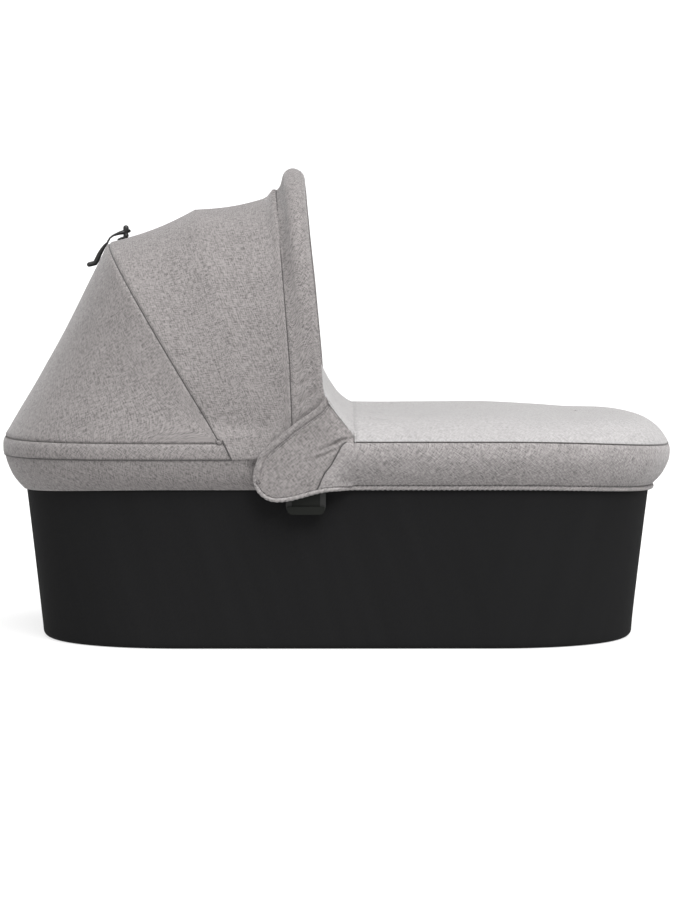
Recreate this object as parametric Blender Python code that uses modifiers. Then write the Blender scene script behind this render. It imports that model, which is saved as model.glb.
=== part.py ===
"""A carrycot: a stiff fabric tub on a rim tube, a folding hood of three bows and a fitted apron.

Lengths are metres. +Z is up, +X runs to the foot end, and the origin is on the ground under the
middle of the tub. The left side is the one at -Y. Heights are measured from the ground.
"""

from math import atan2, copysign, cos, exp, pi, radians, sin, sqrt
from typing import NamedTuple

import bmesh
import bpy
from mathutils import Vector

# Shared fits
FIT = 0.0003
RUNNING_GAP = 0.0003
CUT_OVERRUN = 0.002
MERGE_DISTANCE = 0.00005
SHARP_ANGLE = radians(35)

# Tub plan: straight sides with rounded ends, wider and longer at the rim than at the floor
RIM_TOP = 0.255
FLOOR_HALF_LENGTH = 0.371
RIM_HALF_LENGTH = 0.401
FLOOR_HALF_WIDTH = 0.166
RIM_HALF_WIDTH = 0.190
STRAIGHT_HALF_LENGTH = 0.185
END_ROUNDNESS = 2.25
ARC_STEPS = 9
TUB_WALL = 0.003
FLOOR_EDGE_RADIUS = 0.006
WALL_HOLLOW = 0.0012
WALL_HOLLOW_HEIGHT_SHARE = 0.5

# Rim tube and the fabric roll that hooks over it
TUBE_RADIUS = 0.008
TUBE_PLAY = 0.0005
ROLL_STEPS = 6
ROLL_LIP = 0.008

# Lining, base board and mattress
LINING = 0.003
LINING_BOTTOM = 0.009
LINING_BEND_DROP = 0.055
BOARD = 0.005
BOARD_EDGE_INSET = 0.010
BOARD_EDGE_ROUND = 0.001
MATTRESS_HEIGHT = 0.038
MATTRESS_CROWN = 0.007
MATTRESS_CROWN_SHARES = (0.35, 0.7)
MATTRESS_SIDE_GAP = 0.004
MATTRESS_SIDE_DRAW = 0.003
MATTRESS_CORNER = 0.009
MATTRESS_ARC_STEPS = 3
MATTRESS_SIDE_STEPS = 3

# Hood hinge on each side
HUB_X = -0.082
HUB_DROP = 0.029
HUB_Z = RIM_TOP - HUB_DROP
PIN_RADIUS = 0.004
PIN_DEPTH = 0.014
PIN_HEAD_RADIUS = 0.0068
PIN_HEAD = 0.0012
CAP_RADIUS = 0.013
CAP_WALL = 0.0016
CAP_DOME = 0.0012
TURNED_STEPS = 20

# Side housings: a bridge over the rim that carries the hinge, with the chassis socket below it
HOUSING_REAR_REACH = 0.033
HOUSING_LENGTH = 0.103
HOUSING_HEIGHT = 0.042
HOUSING_DEPTH = 0.025
HOUSING_PROUD = 0.001
HOUSING_RISE = 0.0005
HOUSING_EDGE = 0.002
HOUSING_REAR = HUB_X - HOUSING_REAR_REACH
HOUSING_FRONT = HOUSING_REAR + HOUSING_LENGTH
HOUSING_FACE = RIM_HALF_WIDTH + HOUSING_PROUD
HOUSING_INNER = HOUSING_FACE - HOUSING_DEPTH
HOUSING_TOP = RIM_TOP + HOUSING_RISE
HOUSING_BOTTOM = HOUSING_TOP - HOUSING_HEIGHT
TUBE_SEAT_DEPTH = 0.025
SOCKET_INSET = 0.003
SOCKET_WIDTH = 0.0485
SOCKET_DROP = 0.0435
SOCKET_OVERLAP = 0.0185
SOCKET_THICKNESS = 0.016
SOCKET_CORNER = 0.009
SOCKET_CORNER_STEPS = 3
SOCKET_FRONT = HOUSING_FRONT - SOCKET_INSET
SOCKET_REAR = SOCKET_FRONT - SOCKET_WIDTH
SOCKET_BOTTOM = HOUSING_BOTTOM - SOCKET_DROP
SOCKET_OVERLAP_TOP = HOUSING_BOTTOM + SOCKET_OVERLAP
SLOT_WIDTH = 0.030
SLOT_THICKNESS = 0.009
SLOT_INNER_WALL = 0.0025
SLOT_DEPTH = 0.0394
SLOT_TOP = SOCKET_BOTTOM + SLOT_DEPTH
STOP_DEPTH = 0.0006
STOP_INSET = 0.0003
BORE_SIDES = 16

# Release levers on the sockets, and their springs
LEVER_TRAVEL = 0.007
LEVER_SHANK_WIDTH = 0.034
LEVER_SHANK = 0.0022
LEVER_REACH = 0.0405
LEVER_LIP_HEIGHT = 0.0095
LEVER_LIP_DROP = 0.0005
LEVER_LIP_PROUD = 0.0025
LEVER_LIP_ROUND = 0.006
LEVER_TOP = SOCKET_BOTTOM + LEVER_REACH
LEVER_LIP_BOTTOM = SOCKET_BOTTOM - LEVER_LIP_DROP
RECESS_DEPTH = 0.0025
NOSE_WIDTH = 0.012
NOSE_HEIGHT = 0.005
NOSE_RISE = 0.020
NOSE_BOTTOM = SOCKET_BOTTOM + NOSE_RISE
NOSE_REACH = 0.0018
SPRING_POCKET_HEIGHT = 0.013
SPRING_POCKET_TOP = LEVER_TOP + SPRING_POCKET_HEIGHT
SPRING_POCKET_WIDTH = 0.0066
SPRING_RADIUS = 0.0022
SPRING_WIRE_RADIUS = 0.00035
SPRING_TURNS = 5
SPRING_POINTS_A_TURN = 9

# Hood bows: plastic strips bent over the hood, each with a flat arm and an eye on the hub
STRIP_WIDTH = 0.008
STRIP = 0.0022
EYE_RADIUS = 0.0095
EYE = 0.0026
BOW_STEPS = 18
BOW_ROUNDNESS = 2.5
REAR_ELBOW_BACK = 0.0565
REAR_ELBOW_RISE = 0.0285
REAR_APEX_BACK = 0.1990
REAR_APEX_RISE = 0.2630
MID_ELBOW_RISE = 0.034
MID_APEX_BACK = 0.0955
MID_APEX_RISE = 0.3035
FRONT_ELBOW_AHEAD = 0.0246
FRONT_ELBOW_RISE = 0.0583
FRONT_APEX_AHEAD = 0.0035
FRONT_APEX_RISE = 0.3220

# Hood cloth
CLOTH = 0.002
REAR_COVER_RISE = 0.0029
MID_COVER_RISE = 0.0024
FRONT_COVER_RISE = 0.0018
CANOPY_COLUMNS = 24
CANOPY_REAR_ROWS = 6
CANOPY_FRONT_ROWS = 3
CANOPY_SAG = 0.003
CANOPY_FRONT_SAG = 0.003
SEAM_LAND = 0.003
LAND_FOOT_SHARE = 0.2
LAND_FADE_COLUMNS = 2
REAR_FLARE = 0.0090
MID_FLARE = 0.0045
FLARE_HEIGHT = 0.026
FOOT_RISE = 0.012
VISOR_DEPTH = 0.0382
VISOR_PEAK_DEPTH = 0.064
VISOR_PEAK_ANGLE = radians(76)
VISOR_PEAK_TURN = radians(155)
VISOR_BEND_SHARE = 0.40
VISOR_SIDE_ANGLE = radians(-2)
VISOR_ROWS = 10
VISOR_PROFILE_STEPS = 24
VISOR_FOOT_RISE = 0.009
VISOR_FOOT_Z = RIM_TOP + VISOR_FOOT_RISE
WIRE_RADIUS = 0.0015
WIRE_CLEARANCE = 0.0004

# Vent strap over the rear bow
STRAP_WIDTH = 0.006
STRAP_THICK = 0.0030
STRAP_THIN = 0.0010
STRAP_TAIL = 0.0270
STRAP_REACH = 0.0135
STRAP_LUG = 0.0080
STRAP_LAND_SHARE = 0.55
STRAP_KNEE_SHARE = 1.4
TOGGLE_RADIUS = 0.0032
TOGGLE_LENGTH = 0.0157

# Round lobe of the wing flaps, which covers the hinge
WING_LOBE_AHEAD = 0.0080
WING_LOBE_DROP = 0.0115
WING_LOBE_RADIUS = 0.0295
WING_LOBE_X = HUB_X + WING_LOBE_AHEAD
WING_LOBE_Z = HUB_Z - WING_LOBE_DROP

# Band round the head end, under the hood
BAND_CLOTH = 0.0022
BAND_REAR_DROP = 0.004
BAND_SIDE_RISE = 0.0005
BAND_SIDE_DEPTH = 0.0575
BAND_END_DEPTH = 0.064
BAND_REAR_SEAM = RIM_TOP - BAND_REAR_DROP
BAND_SIDE_SEAM = RIM_TOP + BAND_SIDE_RISE
BAND_SIDE_HEM = BAND_SIDE_SEAM - BAND_SIDE_DEPTH
BAND_END_HEM = BAND_REAR_SEAM - BAND_END_DEPTH
BAND_BULGE = 0.0205
BAND_HEM_STAND = 0.0026
BAND_FRONT_BACK = 0.0240
BAND_TOP_FRONT_BACK = 0.0040
BAND_FRONT = WING_LOBE_X - BAND_FRONT_BACK
BAND_TOP_FRONT = WING_LOBE_X - BAND_TOP_FRONT_BACK
BAND_TOP_REACH_SHARE = 0.7
BAND_TUCK = 0.0040
BAND_TUCK_LENGTH = 0.052
BAND_SHAPE_SHARES = ((0.0, 0.0), (0.12, 0.34), (0.3, 0.70), (0.6, 1.0), (0.85, 0.98), (1.0, 0.84))

CANOPY_FOOT_Z = BAND_SIDE_SEAM + FIT

# Apron over the foot end
APRON_CLOTH = 0.0022
APRON_GAP = 0.032
APRON_START = HOUSING_FRONT + APRON_GAP
APRON_SIDE_RISE = 0.003
APRON_TIP_DROP = 0.012
APRON_SIDE_DEPTH = 0.060
APRON_TIP_DEPTH = 0.057
APRON_CROWN_RISE = 0.029
APRON_SIDE_SEAM = RIM_TOP + APRON_SIDE_RISE
APRON_TIP_SEAM = RIM_TOP - APRON_TIP_DROP
APRON_SIDE_HEM = APRON_SIDE_SEAM - APRON_SIDE_DEPTH
APRON_TIP_HEM = APRON_TIP_SEAM - APRON_TIP_DEPTH
APRON_CROWN = APRON_SIDE_SEAM + APRON_CROWN_RISE
APRON_DOME_REACH = 0.032
APRON_TIP_REACH = 0.022
APRON_SPINE_INSET = 0.101
APRON_SPINE_END = RIM_HALF_LENGTH - APRON_SPINE_INSET
APRON_TIP_RISE = 0.0255
APRON_TIP_LEVEL = APRON_SIDE_SEAM + APRON_TIP_RISE
APRON_SPLIT_SHARE = 0.21
APRON_ROW_SHARES = (0.04, 0.1, 0.2, 0.4, 0.7, 1.0)
APRON_SIDE_STEPS = 3
PIPING_RADIUS = 0.0026
PIPING_LOBE_STEPS = 5
PIPING_HEM_STEPS = 7
SKIRT_GAP = 0.0003

# Raised collar at the hood end of the apron: (back, rise) shares of each of its curves
COLLAR_BACK = 0.0427
COLLAR_RISE = 0.052
COLLAR_SHARES = ((0.0, 0.0), (0.180, 0.02), (0.532, 0.058), (1.0, 1.0))
COLLAR_SIDE_BACK = 0.0347
COLLAR_SIDE_RISE = 0.0556
COLLAR_SIDE_SHARES = ((0.0, 0.0), (0.0, 0.25), (0.51, 0.486), (1.0, 1.0))
COLLAR_DRAW = 0.0105
COLLAR_COLUMNS = 18
COLLAR_ROWS = 5

# Wing flaps: the cuff is given as shares of the way from the lobe's rear to the collar's side end
WING_CLOTH = 0.0022
WING_CAP_CLEARANCE = 0.0042
WING_HEM_REACH = 0.069
WING_HEM_LEVEL_X = WING_LOBE_X + WING_HEM_REACH
WING_CUFF_SHARES = ((0.0, 0.015), (0.092, 0.281), (0.227, 0.414), (0.443, 0.576),
                    (0.625, 0.704), (0.821, 0.823), (0.918, 0.901), (0.962, 0.990))
WING_TUCK = 0.0012
WING_TUCK_HEIGHT = 0.020
WING_JOIN_LENGTH = 0.032
WING_BLEND_START = APRON_START - WING_JOIN_LENGTH
WING_COLUMNS = 14
WING_CROWDING = 1.4
WING_ROWS = 6
WING_FRONT_INSET = 0.001
WING_FRONT = APRON_START - WING_FRONT_INSET

WING_PIPED = 2 * PIPING_RADIUS + 2 * FIT

# Housing screws
SCREW_RADIUS = 0.0015
SCREW_HEAD_RADIUS = 0.0030
SCREW_HEAD = 0.0014
SCREW_INSET = 0.012

SIDES = {"left": -1, "right": 1}


class Station(NamedTuple):
    """A place on the tub's outline: x on a straight side, the end it leads to, and the turn there."""

    x: float
    end: int
    turn: float


class Finish(NamedTuple):
    """Colour, roughness and metallic value of a material."""

    colour: tuple
    roughness: float
    metallic: float


MELANGE = Finish((0.33, 0.31, 0.31), 0.9, 0.0)
MELANGE_DARK = Finish((0.28, 0.265, 0.262), 0.9, 0.0)
BLACK_CLOTH = Finish((0.017, 0.017, 0.018), 0.85, 0.0)
LINING_CLOTH = Finish((0.36, 0.36, 0.37), 0.9, 0.0)
MATTRESS_CLOTH = Finish((0.72, 0.72, 0.70), 0.9, 0.0)
HARDBOARD = Finish((0.16, 0.10, 0.06), 0.8, 0.0)
ALUMINIUM = Finish((0.62, 0.62, 0.63), 0.35, 1.0)
BLACK_PLASTIC = Finish((0.022, 0.022, 0.02), 0.5, 0.0)
GREY_PLASTIC = Finish((0.05, 0.05, 0.047), 0.45, 0.0)
STEEL = Finish((0.55, 0.55, 0.56), 0.3, 1.0)
BLACK_RUBBER = Finish((0.012, 0.012, 0.012), 0.6, 0.0)


def clear_scene():
    """Remove every object of the open scene."""
    for thing in list(bpy.data.objects):
        bpy.data.objects.remove(thing, do_unlink=True)


def make_collection(name):
    """Make a collection under the scene's own one."""
    group = bpy.data.collections.new(name)
    bpy.context.scene.collection.children.link(group)
    return group


clear_scene()
PART = make_collection("carrycot")
CUTTERS = make_collection("carrycot_cutters")


def make_material(name, finish):
    """Make a Principled material with the finish's values."""
    material = bpy.data.materials.new(name)
    material.use_nodes = True
    shader = material.node_tree.nodes["Principled BSDF"]
    shader.inputs["Base Color"].default_value = (*finish.colour, 1.0)
    shader.inputs["Roughness"].default_value = finish.roughness
    shader.inputs["Metallic"].default_value = finish.metallic
    return material


def add_piece(name, data, finish):
    """Add a sub-part with its own material, smooth but for its sharp edges."""
    piece = bpy.data.objects.new(name, data)
    PART.objects.link(piece)
    data.materials.append(make_material(name, finish))
    if isinstance(data, bpy.types.Mesh):
        data.shade_smooth()
        data.set_sharp_from_angle(angle=SHARP_ANGLE)
    return piece


def add_cutter(name, data):
    """Add a wire-drawn helper for a Boolean."""
    cutter = bpy.data.objects.new(name, data)
    CUTTERS.objects.link(cutter)
    cutter.hide_render = True
    cutter.display_type = "WIRE"
    return cutter


def add_joint(name, place):
    """Add the empty that marks a joint's axis and carries the pieces that move on it."""
    joint = bpy.data.objects.new(name, None)
    joint.empty_display_size = EYE_RADIUS
    joint.location = place
    PART.objects.link(joint)
    return joint


def ride(piece, joint):
    """Parent a piece to a joint's empty, keeping it where it is."""
    piece.parent = joint
    piece.location = piece.location - joint.location


def boolean(piece, cutter, operation="DIFFERENCE"):
    """Cut a piece with, or join it to, another mesh."""
    step = piece.modifiers.new(cutter.name, "BOOLEAN")
    step.object = cutter
    step.operation = operation
    step.solver = "EXACT"


def thicken(piece, thickness):
    """Give an open sheet its thickness, inwards from the sheet."""
    step = piece.modifiers.new("thickness", "SOLIDIFY")
    step.thickness = thickness
    step.offset = -1.0
    step.use_even_offset = True


def bevel(piece, width, segments=1):
    """Round a piece's sharp edges."""
    step = piece.modifiers.new("edges", "BEVEL")
    step.width = width
    step.segments = segments
    step.limit_method = "ANGLE"


def skin(name, rows, wrap=False, cap_first=False, cap_last=False):
    """Skin a mesh over rows of points, each row the same number of points.

    Faces look outwards where rows rise and points run anticlockwise seen from above.
    """
    surface = bmesh.new()
    grid = [[surface.verts.new(point) for point in row] for row in rows]
    width = len(rows[0])
    for lower, upper in zip(grid, grid[1:]):
        for column in range(width if wrap else width - 1):
            after = (column + 1) % width
            surface.faces.new((lower[column], lower[after], upper[after], upper[column]))
    if cap_first:
        surface.faces.new(list(reversed(grid[0])))
    if cap_last:
        surface.faces.new(grid[-1])
    mesh = bpy.data.meshes.new(name)
    surface.to_mesh(mesh)
    surface.free()
    return mesh


def box_mesh(name, low, high, side=1, place=None, rounds=None):
    """Make a box between two corners, its corners moved by place and its chosen edges rounded."""
    surface = bmesh.new()
    bmesh.ops.create_cube(surface, size=1.0)
    for vert in surface.verts:
        x, y, z = ((low[i] + high[i]) / 2 + vert.co[i] * (high[i] - low[i]) for i in range(3))
        vert.co = place(x, y, z) if place else (x, y, z)
        vert.co.y *= side
    surface.normal_update()
    if rounds:
        picked, width, segments = rounds
        edges = [edge for edge in surface.edges if picked(edge)]
        bmesh.ops.bevel(surface, geom=edges, offset=width, segments=segments, profile=0.5, affect="EDGES")
    bmesh.ops.recalc_face_normals(surface, faces=surface.faces)
    mesh = bpy.data.meshes.new(name)
    surface.to_mesh(mesh)
    surface.free()
    return mesh


def rod_mesh(name, start, end, radius, sides):
    """Make a closed cylinder between two points."""
    surface = bmesh.new()
    axis = Vector(end) - Vector(start)
    bmesh.ops.create_cone(surface, cap_ends=True, segments=sides, radius1=radius, radius2=radius,
                          depth=axis.length)
    turn = Vector((0, 0, 1)).rotation_difference(axis)
    middle = (Vector(start) + Vector(end)) / 2
    for vert in surface.verts:
        vert.co = turn @ vert.co + middle
    mesh = bpy.data.meshes.new(name)
    surface.to_mesh(mesh)
    surface.free()
    return mesh


def turned_piece(name, profile, place, side, finish):
    """Turn a profile of (radius, outward distance) points about a hub axis along Y."""
    mesh = bpy.data.meshes.new(name)
    points = [(radius, 0.0, distance) for radius, distance in profile]
    mesh.from_pydata(points, [(i, i + 1) for i in range(len(points) - 1)], [])
    piece = add_piece(name, mesh, finish)
    piece.location = place
    piece.rotation_euler = (side * -pi / 2, 0, 0)
    screw = piece.modifiers.new("turned", "SCREW")
    screw.steps = TURNED_STEPS
    screw.render_steps = TURNED_STEPS
    screw.use_merge_vertices = True
    screw.merge_threshold = MERGE_DISTANCE
    screw.use_smooth_shade = True
    screw.use_normal_flip = True
    return piece


def tube_curve(name, points, radius, resolution, radii=None):
    """Make a round bar along a list of points as a curve with a bevel."""
    curve = bpy.data.curves.new(name, "CURVE")
    curve.dimensions = "3D"
    curve.bevel_depth = radius
    curve.bevel_resolution = resolution
    curve.use_fill_caps = True
    spline = curve.splines.new("POLY")
    spline.points.add(len(points) - 1)
    for index, (target, point) in enumerate(zip(spline.points, points)):
        target.co = (*point, 1.0)
        target.radius = radii[index] if radii else 1.0
    return curve


def strip_rows(path, wides, thins, width, thickness):
    """Give the corner rows of a flat strip along a path, from its two cross directions."""
    rows = []
    for point, wide, thin in zip(path, wides, thins):
        across = wide * width / 2
        through = thin * thickness / 2
        rows.append([point - across - through, point + across - through,
                     point + across + through, point - across + through])
    return rows


def smoothstep(value, low, high):
    """Rise smoothly from 0 at low to 1 at high."""
    share = min(max((value - low) / (high - low), 0.0), 1.0)
    return share * share * (3 - 2 * share)


def read_curve(pairs, share):
    """Read a value from (share, value) pairs by straight steps."""
    for (left, low), (right, high) in zip(pairs, pairs[1:]):
        if share <= right:
            return low + (high - low) * (share - left) / (right - left)
    return pairs[-1][1]


def resample(points, count):
    """Spread count points evenly along a line of points."""
    lengths = [0.0]
    for first, second in zip(points, points[1:]):
        lengths.append(lengths[-1] + (second - first).length)
    spread = []
    place = 0
    for index in range(count):
        target = lengths[-1] * index / (count - 1)
        while place < len(points) - 2 and lengths[place + 1] < target:
            place += 1
        share = (target - lengths[place]) / (lengths[place + 1] - lengths[place])
        spread.append(points[place].lerp(points[place + 1], min(share, 1.0)))
    return spread


def wall_point(station, height, offset=0.0):
    """Give the point of the tub's outer wall at a station and height, moved out by offset."""
    share = height / RIM_TOP
    length = FLOOR_HALF_LENGTH + (RIM_HALF_LENGTH - FLOOR_HALF_LENGTH) * share - STRAIGHT_HALF_LENGTH
    width = FLOOR_HALF_WIDTH + (RIM_HALF_WIDTH - FLOOR_HALF_WIDTH) * share
    power = 2 / END_ROUNDNESS
    along, across = abs(cos(station.turn)), abs(sin(station.turn))
    side = copysign(1.0, station.turn)
    normal = Vector((station.end * along ** (2 - power) / length, side * across ** (2 - power) / width, 0))
    base = Vector((station.x + station.end * length * along ** power, side * width * across ** power, height))
    return base + normal.normalized() * offset


def wall_half_width(height):
    """Give the tub's half-width on its straight sides at a height."""
    return FLOOR_HALF_WIDTH + (RIM_HALF_WIDTH - FLOOR_HALF_WIDTH) * height / RIM_TOP


def end_arc(end, steps):
    """Give the stations round one end, anticlockwise seen from above."""
    turns = [(-pi / 2 + pi * step / (2 * steps)) * end for step in range(2 * steps + 1)]
    return [Station(end * STRAIGHT_HALF_LENGTH, end, turn) for turn in turns]


def closed_stations(arc_steps, side_steps=1):
    """Give the stations all round the tub, anticlockwise from the left side's foot end."""
    stations = []
    for end in (1, -1):
        stations += end_arc(end, arc_steps)
        for step in range(1, side_steps):
            x = end * STRAIGHT_HALF_LENGTH * (1 - 2 * step / side_steps)
            stations.append(Station(x, end, end * pi / 2))
    return stations


def end_stations(start_x, end, side_steps):
    """Give the stations from one side at start_x round an end to the other side, anticlockwise."""
    arc = end_arc(end, ARC_STEPS)
    stop = end * STRAIGHT_HALF_LENGTH
    before = [start_x + (stop - start_x) * step / side_steps for step in range(side_steps)]
    lead = [Station(x, end, arc[0].turn) for x in before]
    trail = [Station(x, end, arc[-1].turn) for x in reversed(before)]
    return lead + arc + trail


ROLL_RADIUS = TUBE_RADIUS + TUBE_PLAY + TUB_WALL
TUBE_HEIGHT = RIM_TOP - ROLL_RADIUS
LINING_BEND_HEIGHT = RIM_TOP - LINING_BEND_DROP
LIP_BOTTOM = TUBE_HEIGHT - ROLL_LIP


def rim_point(station, rise, offset):
    """Give a point near the rim: its offset is taken from the wall at the tube's height."""
    return wall_point(station, TUBE_HEIGHT, offset) + Vector((0, 0, rise))


def cut_notches(piece, name):
    """Cut the two gaps that the side housings fill out of the tub's rim or lining."""
    for side_name, side in SIDES.items():
        low = (HOUSING_REAR - FIT, HOUSING_INNER - FIT, HOUSING_BOTTOM - FIT)
        high = (HOUSING_FRONT + FIT, HOUSING_FACE + CUT_OVERRUN, RIM_TOP + CUT_OVERRUN)
        if name == "tub_lining":
            low = (low[0], low[1] - LINING, low[2])
        boolean(piece, add_cutter(f"{name}_notch_{side_name}", box_mesh(f"{name}_notch", low, high, side)))


def make_tub():
    """Make the tub: wall and floor, with the rim roll that hooks over the tube."""
    stations = closed_stations(ARC_STEPS)
    rows = [[wall_point(s, 0, -FLOOR_EDGE_RADIUS) for s in stations]]
    for step in (1, 2):
        angle = pi / 2 * step / 2
        height = FLOOR_EDGE_RADIUS * (1 - cos(angle))
        rows.append([wall_point(s, height, -FLOOR_EDGE_RADIUS * (1 - sin(angle))) for s in stations])
    hollow_height = TUBE_HEIGHT * WALL_HOLLOW_HEIGHT_SHARE
    rows.append([wall_point(s, hollow_height, -WALL_HOLLOW * abs(cos(s.turn))) for s in stations])
    for step in range(ROLL_STEPS + 1):
        angle = pi * step / ROLL_STEPS
        inset = ROLL_RADIUS * (1 - cos(angle))
        rows.append([rim_point(s, ROLL_RADIUS * sin(angle), -inset) for s in stations])
    rows.append([rim_point(s, -ROLL_LIP, -2 * ROLL_RADIUS) for s in stations])
    tub = add_piece("tub_shell", skin("tub_shell", rows, wrap=True, cap_first=True), BLACK_CLOTH)
    thicken(tub, TUB_WALL)
    cut_notches(tub, "tub_shell")
    return tub


def make_lining():
    """Make the wall lining: it follows the wall, then slopes in under the tube to the roll's lip."""
    stations = closed_stations(ARC_STEPS)
    back = -(TUB_WALL + FIT + WALL_HOLLOW)
    top_offset = -(2 * ROLL_RADIUS - TUB_WALL)
    rows = [[wall_point(s, LINING_BOTTOM, back) for s in stations],
            [wall_point(s, LINING_BEND_HEIGHT, back) for s in stations],
            [rim_point(s, -ROLL_LIP - FIT, top_offset) for s in stations]]
    lining = add_piece("tub_lining", skin("tub_lining", rows, wrap=True), LINING_CLOTH)
    thicken(lining, LINING)
    cut_notches(lining, "tub_lining")
    return lining


def make_base_board():
    """Make the stiff board on the tub's floor."""
    stations = closed_stations(ARC_STEPS)
    bottom = TUB_WALL + FIT
    levels = ((bottom, BOARD_EDGE_ROUND), (bottom + BOARD_EDGE_ROUND, 0),
              (bottom + BOARD - BOARD_EDGE_ROUND, 0), (bottom + BOARD, BOARD_EDGE_ROUND))
    rows = []
    for height, inset in levels:
        ring = [wall_point(s, bottom, -BOARD_EDGE_INSET - inset) for s in stations]
        rows.append([Vector((p.x, p.y, height)) for p in ring])
    mesh = skin("base_board", rows, wrap=True, cap_first=True, cap_last=True)
    return add_piece("base_board", mesh, HARDBOARD)


def make_mattress(joint):
    """Make the mattress: a crowned cushion whose sides draw in between its edges."""
    stations = closed_stations(MATTRESS_ARC_STEPS, MATTRESS_SIDE_STEPS)
    bottom = TUB_WALL + FIT + BOARD + FIT
    edge = TUB_WALL + LINING + FIT + WALL_HOLLOW + MATTRESS_SIDE_GAP
    top = bottom + MATTRESS_HEIGHT
    half_width = wall_half_width(bottom) - edge
    levels = ((bottom, edge + MATTRESS_CORNER), (bottom + MATTRESS_CORNER / 2, edge),
              ((bottom + top) / 2, edge + MATTRESS_SIDE_DRAW), (top - MATTRESS_CORNER / 2, edge),
              (top, edge + MATTRESS_CORNER))
    rows = [[wall_point(s, bottom, -inset) + Vector((0, 0, height - bottom)) for s in stations]
            for height, inset in levels]
    for share in MATTRESS_CROWN_SHARES:
        rise = MATTRESS_CROWN * sin(share * pi / 2)
        inset = edge + MATTRESS_CORNER + (half_width - MATTRESS_CORNER) * share
        rows.append([wall_point(s, bottom, -inset) + Vector((0, 0, top - bottom + rise)) for s in stations])
    mesh = skin("mattress", rows, wrap=True, cap_first=True, cap_last=True)
    mattress = add_piece("mattress", mesh, MATTRESS_CLOTH)
    rounded = mattress.modifiers.new("softened", "SUBSURF")
    rounded.levels = 1
    rounded.render_levels = 1
    ride(mattress, joint)
    return mattress


def make_rim_tubes():
    """Make the two U-shaped halves of the rim tube, seated in the side housings."""
    tubes = []
    for name, end, start in (("rim_tube_head", -1, HOUSING_REAR + TUBE_SEAT_DEPTH - FIT),
                             ("rim_tube_foot", 1, HOUSING_FRONT - TUBE_SEAT_DEPTH + FIT)):
        points = [rim_point(s, 0, -ROLL_RADIUS) for s in end_stations(start, end, 1)]
        curve = tube_curve(name, points, TUBE_RADIUS, 2)
        tubes.append(add_piece(name, curve, ALUMINIUM))
    return tubes


def slanted(x, offset, z):
    """Place a point at an offset outside the tub's straight wall, which leans out as it rises."""
    return Vector((x, wall_half_width(z) + offset, z))


def slanted_box(name, low, high, side, rounds=None):
    """Make a box in (x, offset from the wall, height), leaning with the wall."""
    return box_mesh(name, low, high, side, slanted, rounds)


SOCKET_BACK = FIT
SOCKET_MIDDLE = (SOCKET_REAR + SOCKET_FRONT) / 2
SOCKET_OUTER = SOCKET_BACK + SOCKET_THICKNESS
SLOT_BACK = SOCKET_BACK + SLOT_INNER_WALL
SLOT_OUTER = SLOT_BACK + SLOT_THICKNESS
RECESS_FLOOR = SOCKET_OUTER - RECESS_DEPTH
TUBE_Y = wall_half_width(TUBE_HEIGHT) - ROLL_RADIUS


def is_lower_corner(edge):
    """Tell whether an edge is one of the socket's two lower corners, which run across the wall."""
    first, second = (vert.co for vert in edge.verts)
    return abs(first.x - second.x) < FIT and abs(first.z - second.z) < FIT and first.z < SOCKET_BOTTOM + FIT


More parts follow.
